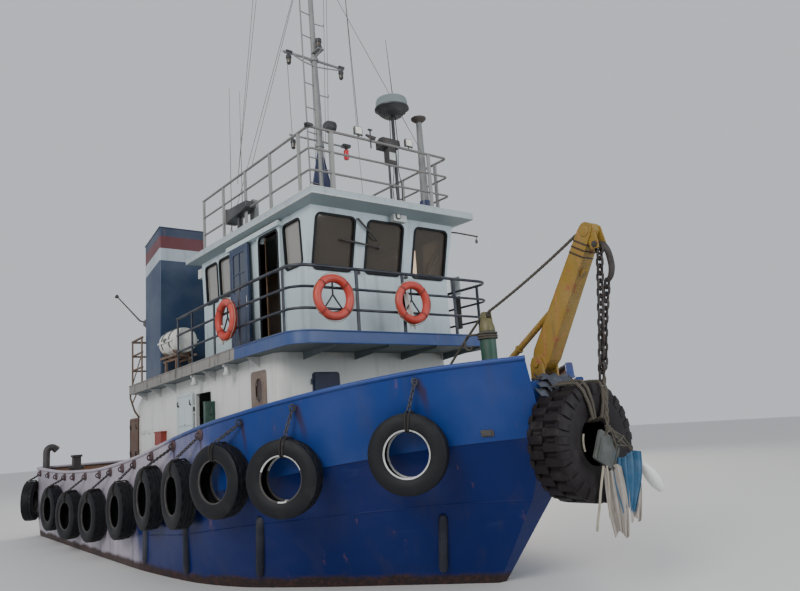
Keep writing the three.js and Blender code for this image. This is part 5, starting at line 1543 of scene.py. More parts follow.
def make_steering_stand():
    p, screens, wheel = Piece(), Piece(), Piece()
    profile = [(4.2497, 3.81), (4.2497, 4.7497), (4.1, 4.7497), (3.86, 4.6), (3.7503, 4.52), (3.7503, 4.45),
               (3.82, 4.42), (3.82, 3.81)]
    p.prism(profile, "Y", -1.05, 1.05)
    for y in (-0.72, -0.25, 0.25, 0.72):
        p.box((3.812, y - 0.2, 3.95), (3.822, y + 0.2, 4.35))
    for y, wide in ((-0.75, 0.24), (0.0, 0.3), (0.72, 0.26)):
        screens.box((4.02, y - wide / 2, 4.7), (4.06, y + wide / 2, 4.745))
        screens.prism([(3.94, 4.655), (3.9, 4.63), (3.8, 4.56), (3.84, 4.58)], "Y", y - wide / 2,
                      y + wide / 2)
    for y in (-0.4, 0.42):
        screens.lathe([(0, 0), (0.05, 0), (0.06, 0.04), (0.02, 0.06), (0.016, 0.13), (0.03, 0.15),
                       (0, 0.16)], (3.96, y, 4.63), Z, 14)
    centre, radius = Vector((3.6, 0, 4.56)), 0.282
    wheel.torus(centre, X, radius, 0.0175, 48, 12)
    wheel.tube([(3.575, 0, 4.56), (3.79, 0, 4.56)], 0.029, 14)
    wheel.lathe([(0, 0), (0.06, 0), (0.05, 0.03), (0, 0.04)], (3.585, 0, 4.56), X, 18)
    for k in range(6):
        a = pi * k / 3
        wheel.tube([centre, centre + Vector((0, cos(a), sin(a))) * radius], 0.0115, 8)
    p.done("steering_desk", coat.wood_brown, bevel=0.006, replaces=["steering_stand"], slot="console_wood")
    screens.done("desk_instruments", coat.screen_black, bevel=0.003)
    wheel.done("steering_wheel", coat.dark_steel)


make_steering_stand()


# Funnels with painted bands, louvres and exhaust pipes
BANDS = (
    # lowest height of the band at the funnel's front, colour; the last one goes all the way down
    (6.82, (0.02, 0.035, 0.075)),
    (6.54, (0.1, 0.014, 0.02)),
    (6.26, (0.36, 0.42, 0.47)),
    (0, (0.014, 0.036, 0.085)),
)
BAND_SLOPE = 0.23 / 0.96  # the bands drop towards the stern with the funnel's top


def funnel_finish():
    s = Shader("funnel_paint")
    x, _, z = s.axes()
    level = s.sub(z, s.mul(s.add(x, 0.9), BAND_SLOPE))
    color = BANDS[-1][1]
    for low, tone in reversed(BANDS[:-1]):
        color = s.mix(s.step(level, low - 0.004, low + 0.004), color, tone)
    color, worn = weather(s, color, 0.1, 0.5, 1.1)
    s.set(base_color=color, roughness=s.add(0.42, s.mul(worn, 0.3)))
    s.bump(s.dents(1.4, 3), 0.35)
    return s.mat


funnel_paint = funnel_finish()


FUNNEL = {"aft": -1.86, "front": -0.9, "aft_top": 6.8, "top": 7.03, "inboard": 1.06, "outboard": 2.09}


def make_funnels():
    aft, front, aft_top, top = (FUNNEL[key] for key in ("aft", "front", "aft_top", "top"))
    for name, side in SIDES.items():
        p, black, trim, steps = (Piece() for _ in range(4))
        inboard = side * FUNNEL["inboard"]
        y0, y1 = sorted((inboard, side * FUNNEL["outboard"]))
        profile = [(aft, bridge_top(aft) + 0.001), (front, bridge_top(front) + 0.001), (front, top),
                   (aft, aft_top)]
        p.prism(profile, "Y", y0, y1)
        node = f"funnel_{name}"
        p.done(node + "_casing", funnel_paint, bevel=0.02, replaces=[node], slot="funnel_blue")
        middle = (y0 + y1) / 2
        for x in (-1.62, -1.18):
            p0, p1 = Vector((x - 0.03, middle, 6.85)), Vector((x - 0.0585, middle, 7.18))
            aim = (p1 - p0).normalized()
            black.lathe([(0, 0), (0.108, 0), (0.108, 0.21), (0.094, 0.21), (0.094, 0.1), (0, 0.1)], p0, aim,
                        28)
            black.lathe(band(0.112, 0.135, 0.05, 0.075), p0, aim, 28)
        # Rim, louvres on the inboard face, a door and steps on the after face
        corners = ((aft, y0, aft_top), (aft, y1, aft_top), (front, y1, top), (front, y0, top))
        trim.tube([(x, y, z - 0.006) for x, y, z in corners], 0.014, 8, closed=True)
        slat = inboard - side * 0.03
        for k in range(8):
            z = 4.9 + 0.09 * k
            trim.prism([(inboard, z), (slat, z - 0.03), (slat, z - 0.02), (inboard, z + 0.012)], "X", -1.65,
                       -1.1)
        for x in (-1.68, -1.08):
            trim.block(x, inboard - side * 0.006, 0.02, 0.006, 4.82, 5.66)
        at = after_wall(aft)
        door = (-middle - 0.28, -middle + 0.28, 3.95, 5.25)
        pad_of(trim, at, rounded(*door, 0.06), -0.004, 0.014)
        ring_of(trim, at, rounded(*shrink(door, -0.03), 0.08), rounded(*door, 0.05), -0.004, 0.022)
        hinge = door[0] + 0.05
        for z in (4.15, 4.6, 5.05):
            line = ((hinge, 0.01), (hinge, 0.05), (hinge + 0.09, 0.05))
            steps.tube([at @ Vector((u, z, w)) for u, w in line], 0.01, 8)
        for z in (5.5, 5.8, 6.1, 6.4):
            line = ((-0.15, 0), (-0.15, 0.09), (0.15, 0.09), (0.15, 0))
            steps.tube([at @ Vector((-middle + u, z, w)) for u, w in line], 0.011, 8)
        trim.done(node + "_trim", funnel_paint, bevel=0.002)
        black.done(node + "_pipes", coat.soot)
        steps.done(node + "_steps", coat.dark_steel)


def make_lamp_arm():
    """Lamp on a long arm off the after corner of the starboard funnel."""
    arm, lens = Piece(), Piece()
    arm.tube([(-1.85, -2.02, 4.98), (-2.22, -2.1, 5.1), (-3.24, -2.3, 5.84)], (0.022, 0.02, 0.015), 8)
    arm.prism([(-1.86, 4.86), (-1.86, 5.1), (-2.06, 5.06), (-2.1, 4.98)], "Y", -2.07, -1.99)
    arm.tube([(-3.24, -2.3, 5.84), (-3.28, -2.31, 5.9)], 0.03, 10)
    lens.lathe([(0, 0), (0.04, 0), (0.05, 0.03), (0.035, 0.06), (0, 0.065)], (-3.28, -2.31, 5.83), Z, 14)
    arm.done("lamp_arm", coat.dark_steel)
    lens.done("lamp_arm_head", coat.soot)


make_funnels()
make_lamp_arm()


# Roof rail and the gear on the wheelhouse roof
ROOF_TOP = 6.125
MAST_FOOT = 2.665  # where the mast stands on the roof
MAST_RAKE = 0.02
LADDER = {"y": -0.3, "fore": 0.04, "low": 6.65, "top": 12.3, "step": 0.55}


def mast_x(z):
    return MAST_FOOT - (z - ROOF_TOP) * MAST_RAKE


def axis(z, ahead=0.0, y=0.0):
    """A point of the mast's axis, or ahead of it and beside it."""
    return Vector((mast_x(z) + ahead, y, z))


ROOF_RAIL = {"height": 1.2, "half": 1.557, "front": 4.71, "posts": (0.335, 1.32, 2.325, 3.335, 4.375),
             "across": (-1.1, 1.1)}


def make_roof_rail():
    p = Piece()
    height, half, front = (ROOF_RAIL[key] for key in ("height", "half", "front"))
    plan = rail_path(0.29, front, half, 0.07)
    for share, radius in ((1, 0.024), (0.68, 0.02), (0.36, 0.02)):
        p.tube([(x, y, ROOF_TOP + height * share) for x, y in plan], radius, 12)
    for side in SIDES.values():
        for x in ROOF_RAIL["posts"]:
            y = side * half
            p.block(x, y, 0.034, 0.018, ROOF_TOP - 0.01, ROOF_TOP + height, mat=1)
            p.box((x - 0.06, y - 0.06, ROOF_TOP), (x + 0.06, y + 0.05, ROOF_TOP + 0.012), mat=1)
    for y in ROOF_RAIL["across"]:
        p.block(front, y, 0.018, 0.034, ROOF_TOP - 0.01, ROOF_TOP + height, mat=1)
        p.box((front - 0.06, y - 0.06, ROOF_TOP), (front + 0.05, y + 0.06, ROOF_TOP + 0.012), mat=1)
    p.done("roof_rail_bars", [coat.rail_grey, coat.post_grey], replaces=["roof_rail"], slot="rail_grey")


make_roof_rail()


def lamp(body, lens, at, size=1.0):
    """Small navigation lamp that hangs: a dark cap and base with a clear band."""
    parts = (
        # piece, how far down, profile
        (body, 0, ((0, 0), (0.05, 0), (0.06, 0.03), (0.06, 0.07), (0, 0.075))),
        (lens, 0.07, ((0, 0), (0.048, 0), (0.052, 0.05), (0.046, 0.1), (0, 0.105))),
        (body, 0.172, ((0, 0), (0.05, 0), (0.03, 0.03), (0, 0.035))),
    )
    for p, down, profile in parts:
        p.lathe([(r * size, h * size) for r, h in profile], Vector(at) - Z * down * size, -Z, 16)


def make_mast():
    p, web, black, lens, smoky, red = (Piece() for _ in range(6))
    foot, head = ROOF_TOP + 0.001, 13.2
    up = (axis(9) - axis(8)).normalized()
    p.tube([axis(foot), axis(8.0), axis(head - 0.001)], (0.077, 0.072, 0.045), 24)
    for z in (8.05, 10.0, 11.6):
        p.lathe(band(0.07, 0.092, -0.03, 0.03), axis(z), up, 24)
    # Webs at the foot, the wide pair with a round edge
    web.prism([(2.375, foot), (2.955, foot), (2.68, 7.94), (2.58, 7.94)], "Y", -0.008, 0.008)
    wide = ((MAST_FOOT, 0.44, foot), (2.63, 0.06, 7.88))
    web.skin([[(x + dx, y, z) for dx, y in ((-0.008, -half), (0.008, -half), (0.008, half), (-0.008, half))]
              for x, half, z in wide])
    for side in SIDES.values():
        web.tube([(x, side * half, z) for x, half, z in wide], 0.018, 8)
    p.box((2.33, -0.46, foot), (3.0, 0.46, foot + 0.014))
    # Ladder, with step irons on the other side
    stile = [axis(z, LADDER["fore"], LADDER["y"]) for z in (foot + 0.02, 9.0, 12.28)]
    p.tube(stile, 0.0165, 10)
    z = LADDER["low"]
    while z < LADDER["top"]:
        p.tube([axis(z, LADDER["fore"], LADDER["y"]), axis(z)], 0.0125, 8)
        z += LADDER["step"]
    for z in (7.55, 9.21, 10.88):
        p.tube([axis(z), axis(z, 0.02, 0.29)], 0.0125, 8)
        p.tube([axis(z, 0.02, 0.285), axis(z + 0.06, 0.02, 0.285)], 0.0125, 8)
    # Cross yard with a bent bar below it and a lamp near each end
    yard = 10.0
    p.tube([axis(yard, 0, -0.749), axis(yard, 0, 0.749)], 0.027, 12)
    bow = ((-0.02, 0.03, -0.56), (-0.12, 0.03, -0.3), (-0.17, 0.04, 0), (-0.12, 0.03, 0.35),
           (-0.08, 0.03, 0.6), (0, 0.01, 0.68))
    p.tube([axis(yard + dz, dx, y) for dz, dx, y in bow], 0.015, 8)
    for y in (-0.62, 0.67):
        black.box(axis(yard, -0.05, y - 0.07) - Z * 0.01, axis(yard, 0.05, y + 0.07) + Z * 0.035)
        black.tube([axis(yard, 0, y), axis(yard - 0.08, 0, y)], 0.018, 8)
        lamp(black, smoky, axis(yard - 0.06, 0, y))
    # Lower arm with a small lamp and a red one under a cap
    arm = 8.16
    p.tube([axis(arm, 0, -0.7), axis(arm, 0, 0.72)], 0.02, 10)
    black.tube([axis(arm, 0, -0.625), axis(arm - 0.1, 0, -0.625)], 0.016, 8)
    lamp(black, smoky, axis(arm - 0.1, 0, -0.625), 0.95)
    black.box(axis(arm, -0.06, 0.57) - Z * 0.01, axis(arm, 0.06, 0.75) + Z * 0.05)
    black.tube([axis(arm, 0, 0.66), axis(arm - 0.1, 0, 0.66)], 0.03, 12)
    red.lathe([(0, 0), (0.058, 0), (0.06, 0.17), (0.05, 0.2), (0, 0.205)], axis(arm - 0.08, 0, 0.66), -Z, 18)
    # Lamps on brackets forward of the mast
    for z, out in ((10.15, 0.2), (11.7, 0.16)):
        near, far = mast_x(z), mast_x(z) + out
        p.prism([(near, z - 0.16), (near, z - 0.02), (far + 0.08, z - 0.02), (far + 0.08, z - 0.05)], "Y",
                -0.012, 0.012)
        p.box((near + 0.02, -0.08, z - 0.025), (far + 0.1, 0.08, z - 0.01))
        black.lathe([(0, 0), (0.07, 0), (0.075, 0.05), (0.07, 0.08), (0, 0.08)], (far, 0, z - 0.01), Z, 20)
        smoky.lathe([(0, 0), (0.062, 0), (0.064, 0.09), (0, 0.095)], (far, 0, z + 0.068), Z, 20)
        black.lathe([(0, 0), (0.07, 0), (0.07, 0.08), (0.03, 0.1), (0, 0.1)], (far, 0, z + 0.16), Z, 20)
    # Searchlight on a post before the mast, turned to port
    post, light, aim = Vector((2.99, 0.03, 0)), Vector((2.95, 0.045, 8.36)), Vector((-0.2, 1, 0)).normalized()
    p.tube([post + Z * foot, post + Z * 8.16], (0.055, 0.05), 18)
    black.tube([post + Z * 8.15, light - Z * 0.12], 0.03, 10)
    black.lathe([(0, -0.12), (0.07, -0.115), (0.115, -0.06), (0.13, 0.02), (0.135, 0.09), (0.12, 0.09),
                 (0, 0.07)], light, aim, 28)
    lens.lathe([(0, 0.074), (0.116, 0.092), (0.1, 0.105), (0, 0.112)], light, aim, 28)
    # Upper spreader, its braces and a lamp on a small shelf
    p.tube([axis(12.6, 0, -1.2), axis(12.6, 0, 1.0)], 0.02, 10)
    p.tube([axis(12.6, 0, -0.7), axis(12.95), axis(12.6, 0, 0.7)], 0.01, 6)
    lamp(black, smoky, axis(13.0, 0.1), 0.7)
    p.box(axis(13.0, 0.0, -0.03) - Z * 0.012, axis(13.0, 0.14, 0.03) + Z * 0.004)
    p.done("mast_pole", coat.mast_grey, replaces=["mast"], slot="mast_grey")
    web.done("mast_webs", coat.web_blue, bevel=0.002)
    black.done("mast_lamps", coat.gear_black)
    lens.done("mast_searchlight_glass", coat.lamp_glass)
    smoky.done("mast_lenses", coat.lamp_smoky)
    red.done("mast_red_lamp", coat.lamp_red)


make_mast()


def make_stays():
    """Halyards, stays and whip aerials, all taut."""
    p = Piece()
    head, half, front = axis(12.8), ROOF_RAIL["half"], ROOF_RAIL["front"]
    starboard, port = (Vector((mast_x(12.6), y, 12.59)) for y in (-1.18, 0.92))
    lines = ((starboard, (1.99, -half, 7.18), 0.006), (starboard + Y * 0.1, (2.03, -half, 7.33), 0.006),
             (port, (front, -0.5, 7.34), 0.007), (port, (1.9, half, 7.33), 0.006),
             (head, (2.62, -half, 7.33), 0.006), (head, (front, 0.95, 7.34), 0.006),
             (head, (0.5, half, 7.33), 0.006), (head, (0.5, -1.2, 6.13), 0.007),
             (head, (0.5, 1.2, 6.13), 0.007), (axis(9.8, 0, -0.66), axis(8.15, 0, -0.64), 0.007),
             (Vector((mast_x(12.58), 0.4, 12.59)), axis(8.15, 0, 0.15), 0.006),
             (Vector((mast_x(12.58), 0.48, 12.59)), axis(8.15, 0, 0.22), 0.006),)
    for start, end, radius in lines:
        p.tube([start, end], radius, 6)
    # Whip aerials on the rail, each thicker at its foot
    for x, z0, z1, lean in ((1.62, 6.2, 9.4, 0.05), (2.12, 6.2, 9.1, 0.02)):
        p.tube([(x, -1.53, z0), (x, -1.53, z0 + 0.5), (x + lean, -1.53, z1)], (0.014, 0.009, 0.004), 6)
    p.done("mast_stays", coat.stay_wire)


make_stays()


def make_radar():
    p, post, gear, lens = Piece(), Piece(), Piece(), Piece()
    x, y, z = 4.48, 0.48, 8.08
    p.lathe([(0, 0.135), (0.312, 0.135), (0.318, 0.15), (0.309, 0.165), (0.3, 0.27), (0.283, 0.31),
             (0.2, 0.322), (0, 0.325)], (x, y, z), Z, 48)
    p.done("radar_dome", coat.dome_white, replaces=["radar"], slot="radar_white", smooth=50)
    pan = [(0, -0.04), (0.15, -0.04), (0.175, -0.03), (0.25, 0.03), (0.3, 0.09), (0.33, 0.11),
           (0.33, 0.132), (0.31, 0.14), (0, 0.14)]
    post.lathe(pan, (x, y, z), Z, 48)
    post.tube([(x, y, ROOF_TOP + 0.001), (x, y, z + 0.02)], 0.031, 18)
    post.block(x, y, 0.09, 0.09, ROOF_TOP + 0.001, ROOF_TOP + 0.014)
    post.tube([(x, y - 0.16, ROOF_TOP + 0.001), (x, y - 0.16, 7.1)], 0.023, 14)
    post.tube([(x, y - 0.16, 6.62), (x, y, 6.62)], 0.012, 8)
    for k in range(3):
        a = radians(90 + 120 * k)
        fin = ((0.03, 0), (0.12, 0), (0.12, 0.006))
        outline = [(x + r * cos(a) - w * sin(a), y + r * sin(a) + w * cos(a)) for r, w in fin]
        post.prism(outline, "Z", z - 0.02, z + 0.005)
    post.done("radar_post", coat.gear_black)
    # Equipment box between the legs, with a sloping hood and a pale plate
    gear.box((x - 0.075, 0.27, 7.06), (x + 0.065, 0.45, 7.44))
    gear.prism([(4.34, 7.36), (4.34, 7.5), (4.46, 7.56), (4.58, 7.54), (4.6, 7.4), (4.46, 7.38)], "Y", 0.14,
               0.53)
    gear.tube([(x, 0.03, 7.5), (x - 0.06, -0.14, 7.58)], (0.05, 0.02), 10)
    gear.done("radar_box", coat.dark_steel, bevel=0.004)
    lens.box((x + 0.064, 0.29, 7.13), (x + 0.071, 0.43, 7.28))
    lens.done("radar_plate", coat.trim_white)
    wires = Piece()
    for k, (dx, dy) in enumerate(((0.04, 0.03), (0.05, -0.05), (-0.04, -0.03))):
        line = [(x + dx, y + dy, z + 0.02), (x + dx * 1.2, y + dy * 1.5, 7.5), (x + dx * 0.8, y + dy, 7.0),
                (x + dx * 1.6, y + dy * 2, 6.6), (x + dx, y + dy, ROOF_TOP + 0.01)]
        wires.tube(smooth_line(line, 5), 0.008, 6)
    wires.done("radar_wires", coat.black_gum)
    whip = Piece()
    whip.tube([(4.53, 0.48, 8.39), (4.53, 0.48, 8.5), (4.44, 0.48, 9.68)], (0.012, 0.009, 0.004), 8)
    whip.done("radar_whip", coat.gear_black)


make_radar()


def make_roof_gear():
    x, y, z = 4.43, 1.18, 8.1
    p, hat, base = Piece(), Piece(), Piece()
    p.tube([(x, y, ROOF_TOP + 0.001), (x, y, 7.2), (x, y, z + 0.03)], (0.088, 0.07, 0.055), 24)
    p.done("vent_column", coat.mast_grey, replaces=["vent_post"], slot="rail_grey")
    hat.lathe([(0.05, 0.0), (0.062, 0), (0.14, 0.06), (0.149, 0.075), (0.149, 0.098), (0.1, 0.114),
               (0, 0.119), (0, 0.03)], (x, y, z), Z, 32)
    hat.done("vent_hat", coat.hat_brown)
    base.lathe([(0.08, 0.001), (0.148, 0.001), (0.148, 0.02), (0.128, 0.03), (0.104, 0.355), (0.08, 0.36),
                (0.08, 0.001)], (x, y, ROOF_TOP), Z, 24)
    base.done("vent_base", coat.web_blue)
    # Floodlights and a small post on the front rail
    body, lens, cases = Piece(), Piece(), Piece()
    front, rail_top_z = ROOF_RAIL["front"], ROOF_TOP + ROOF_RAIL["height"]
    for y in (-0.52, 0.63):
        body.tube([(front, y, rail_top_z), (front, y, rail_top_z + 0.065)], 0.012, 8)
        for dy in (-0.085, 0.085):
            body.block(front, y + dy, 0.015, 0.006, rail_top_z + 0.045, rail_top_z + 0.175)
        cases.block(front, y, 0.025, 0.08, rail_top_z + 0.06, rail_top_z + 0.21)
        lens.box((4.736, y - 0.064, 7.4), (4.741, y + 0.064, 7.52))
    x, y = front + 0.025, -0.27
    body.tube([(x, y, 7.17), (x, y, 7.52)], 0.014, 8)
    body.block(x, y, 0.02, 0.04, 7.51, 7.535)
    # Clamp on the starboard corner of the rail
    body.block(front, -1.55, 0.05, 0.05, rail_top_z - 0.01, rail_top_z + 0.045)
    body.tube([(front, -1.62, 7.35), (front, -1.46, 7.36)], 0.026, 10)
    # Loudspeaker box on the starboard rail, and a flat ventilator behind it
    horn = Piece()
    rows = []
    for x, low, high in ((1.65, 6.44, 6.73), (1.8, 6.47, 6.71), (2.25, 6.5, 6.69), (2.52, 6.54, 6.67)):
        rows.append([(x, -1.66, low), (x, -1.44, low), (x, -1.44, high), (x, -1.66, high)])
    horn.skin(rows)
    horn.box((2.0, -1.6, 6.125), (2.06, -1.5, 6.51))
    horn.done("roof_speaker", coat.gear_black, bevel=0.012)
    ring = Piece(wall_frame(Vector((1.645, -1.55, -0.05)), Y, Z))
    ring_of(ring, Matrix.Identity(4), rounded(-0.125, 0.125, 6.475, 6.795, 0.03),
            rounded(-0.1, 0.1, 6.5, 6.77, 0.02), -0.02, 0.012)
    ring.done("roof_speaker_rim", coat.rail_grey)
    flat = Piece(wall_frame(Vector((2.22, -1.33, 0)), X, Z))
    outline = [(-0.1, 6.13), (0.1, 6.13), *arc((0, 6.72), 0.1, 0, 180, 10)]
    pad_of(flat, Matrix.Identity(4), outline, -0.05, 0.05)
    flat.done("roof_ventilator", coat.mast_grey, bevel=0.01)
    # Low ventilator and hatch aft on the roof
    body.lathe([(0, 0), (0.16, 0), (0.16, 0.03), (0.05, 0.04), (0.05, 0.26), (0.13, 0.3), (0.12, 0.36),
                (0, 0.39)], (1.1, 0.55, ROOF_TOP), Z, 24)
    cases.block(1.25, -0.4, 0.35, 0.3, ROOF_TOP, ROOF_TOP + 0.09)
    cases.block(1.25, -0.4, 0.38, 0.33, ROOF_TOP + 0.09, ROOF_TOP + 0.12)
    body.done("roof_posts", coat.gear_black, bevel=0.002)
    cases.done("floodlights", coat.rail_grey, bevel=0.004)
    lens.done("floodlight_lenses", coat.lamp_glass)


make_roof_gear()


# Bow gear: the big tyre, the boom, the king post and what hangs from the boom
BOW_TYRE = Vector((8.3987, 0, 1.88))
FOOT, HEAD = Vector((7.93, 0, 2.93)), Vector((8.94, 0, 4.58))
CHAIN_TOP = Vector((9.03, 0, 4.33))
POST_X, POST_TOP, POST_RADIUS = 6.92, 3.73, 0.119


# Bar of a lug down the shoulder: radius, distance from the middle plane, height
SHOULDER = ((0.742, 0.19, 0.0), (0.735, 0.235, 0.018), (0.69, 0.268, 0.016), (0.62, 0.286, 0.012),
            (0.58, 0.289, 0.0))


def make_bow_tyre():
    p = Piece(Matrix.Translation(BOW_TYRE) @ Matrix.Rotation(radians(90), 4, "Z"))
    p.skin(tyre_mesh(BOW_TYRE_SIZE, 150, 1, 6, 0.045), closed=True)
    # Bars that run on from the lugs down each shoulder
    for k in range(25):
        for side, shift in ((1, 0.5), (-1, 0.0)):
            a = 2 * pi * (k + shift + 0.16) / 25
            half = 0.056
            u, t = Vector((cos(a), 0, sin(a))), Vector((-sin(a), 0, cos(a)))
            rows = []
            for r, w, rise in SHOULDER:
                out = (u * 0.5 + Y * side * 0.85).normalized() if w > 0.2 else u
                foot = u * r + Y * side * w
                bar = ((-1, -0.03), (-0.8, rise), (0.8, rise), (1, -0.03))
                rows.append([foot + t * half * beside + out * lift for beside, lift in bar])
            p.skin(rows)
    p.done("bow_tyre_fender", coat.old_rubber, replaces=["bow_tyre"], slot="tyre_rubber", smooth=35)
    ropes, pale = Piece(), Piece()
    for k, a in enumerate((68, 76, 102, 110)):
        u = Vector((0, cos(radians(a)), sin(radians(a))))
        loop = [(0.28, 0.2), (0.31, 0.305), (0.5, 0.322), (0.68, 0.3), (0.78, 0.24), (0.79, 0.1),
                (0.785, -0.12), (0.74, -0.25), (0.68, -0.302), (0.5, -0.31), (0.31, -0.28), (0.275, -0.1)]
        ropes.tube([BOW_TYRE + u * r + X * w * (0.93 if w < 0 else 1) for r, w in loop], 0.02, 8, closed=True)
    for y in (-0.2, 0.2):
        chain(ropes, [(8.2, y, 2.66), (8.11, y * 1.3, 2.72), (8.0, y * 1.6, 2.73)], 0.1, 0.014, mat=1)
    strip = [BOW_TYRE + Vector((0.262, 0.296 * cos(radians(a)), 0.296 * sin(radians(a))))
             for a in range(158, 205, 6)]
    pale.tube(strip, 0.013, 8)
    ropes.done("bow_tyre_ropes", [coat.rope_old, coat.chain_brown])
    pale.done("bow_tyre_strip", coat.rope_pale)


make_bow_tyre()


def make_boom_foot():
    """Lugs on the bow block that carry the boom's pin, and scrap matting wedged between them and the tyre."""
    p, scrap = Piece(), Piece()
    for side in SIDES.values():
        p.prism([(7.82, 2.69), (8.04, 2.69), (8.04, 2.93), (8.0, 3.02), (7.86, 3.02), (7.82, 2.93)], "Y",
                side * 0.142 - 0.02, side * 0.142 + 0.02)
    p.done("boom_foot_lugs", coat.boom_ochre, bevel=0.005)
    # Three crumpled layers over the shoulder of the tyre
    for layer, (near, far, low) in enumerate(((-0.42, 0.02, 2.62), (-0.36, 0.1, 2.68), (-0.3, 0.2, 2.72))):
        rows = []
        for i in range(9):
            y = near + (far - near) * i / 8
            row = []
            for j in range(7):
                crumple = 0.035 * sin(1.9 * i + 1.3 * j + layer)
                z = low + 0.03 * layer + crumple - 0.012 * j * j * 0.4
                row.append((7.98 + 0.055 * j, y + 0.012 * sin(3 * j + layer), z))
            rows.append(row)
        scrap.skin([[*row, *[(x, y, z - 0.02) for x, y, z in reversed(row)]] for row in rows])
    scrap.done("bow_matting", coat.matting, smooth=60)


make_boom_foot()


def make_boom():
    along = (HEAD - FOOT).normalized()
    above = Vector((-along.z, 0, along.x))
    length = (HEAD - FOOT).length
    at = Matrix.Translation(FOOT) @ Matrix((along, above, along.cross(above))).transposed().to_4x4()
    p = Piece(at)
    tip = length - 0.04
    outline = ([(-0.04, 0.08), (-0.04, -0.08), (0.0, -0.115), (0.12, -0.149), (tip, -0.1)]
               + arc((tip, 0), 0.1, -80, 80, 14) + [(tip, 0.1), (0.12, 0.149), (0.0, 0.115)])
    p.skin([[(u, v, w) for u, v in outline] for w in (-0.1099, 0.1099)])
    # Flange plates, edge welds, doublers round the pin and at the head, a folded bracket
    for v0, v1 in ((-0.149, -0.1), (0.149, 0.1)):
        sign = 1 if v0 > 0 else -1
        line = [(0.13, v0), (tip - 0.02, v1), (tip - 0.02, v1 + sign * 0.007), (0.13, v0 + sign * 0.007)]
        p.skin([[(u, v, w) for u, v in line] for w in (-0.1085, 0.1085)])
    for w in (-1, 1):
        p.lathe([(0.02, 0.1), (0.135, 0.1), (0.135, 0.1165), (0.128, 0.1192), (0.02, 0.1192), (0.02, 0.1)],
                (0, 0, 0), Z * w, 32)
        p.lathe([(0.0, 0.1), (0.07, 0.1), (0.07, 0.118), (0.06, 0.122), (0, 0.122)], (tip - 0.02, 0, 0),
                Z * w, 24)
        p.tube([(0.0, 0, w * 0.1), (0.0, 0, w * 0.184)], 0.0349, 18)
        p.lathe([(0, 0.168), (0.05, 0.168), (0.05, 0.184), (0, 0.185)], (0, 0, 0), Z * w, 6)
        for v in (-1, 1):
            p.tube([(0.14, v * 0.148, w * 0.1085), (tip - 0.02, v * 0.1, w * 0.1085)], 0.007, 6)
    p.skin([[(1.28, -0.1, w), (1.42, -0.1, w), (1.4, -0.165, w), (1.33, -0.15, w)] for w in (-0.05, 0.05)])
    p.box((0.62, 0.118, -0.05), (0.8, 0.136, 0.05))
    for u in (1.56, 1.64, 1.72):
        p.tube([(u, v, w) for v, w in rounded(-0.118, 0.118, -0.124, 0.124, 0.03, 3)], 0.009, 6,
               closed=True, mat=1)
    p.at = Matrix.Identity(4)
    # Lugs for the chain's shackle and the back leg
    for y in (-1, 1):
        out = [(8.975, 4.275), (9.085, 4.275), (9.085, 4.36), (9.03, 4.59), (8.9, 4.62), (8.93, 4.4)]
        a, b = sorted((y * 0.0742, y * 0.0918))
        p.prism(out, "Y", a, b)
    p.tube([(7.072, 0, 2.895), (8.16, 0, 3.62)], 0.0448, 20)
    p.lathe(band(0.046, 0.062, 0.0, 0.03), (7.5, 0, 3.18), Vector((1.088, 0, 0.725)).normalized(), 20)
    p.prism([(8.0, 3.42), (8.22, 3.74), (8.3, 3.6), (8.1, 3.4)], "Y", -0.012, 0.012)
    p.done("boom_beam", [coat.boom_ochre, coat.chain_brown], body="boom", bevel=0.006, replaces=["boom"],
           slot="boom_yellow", smooth=35)


make_boom()


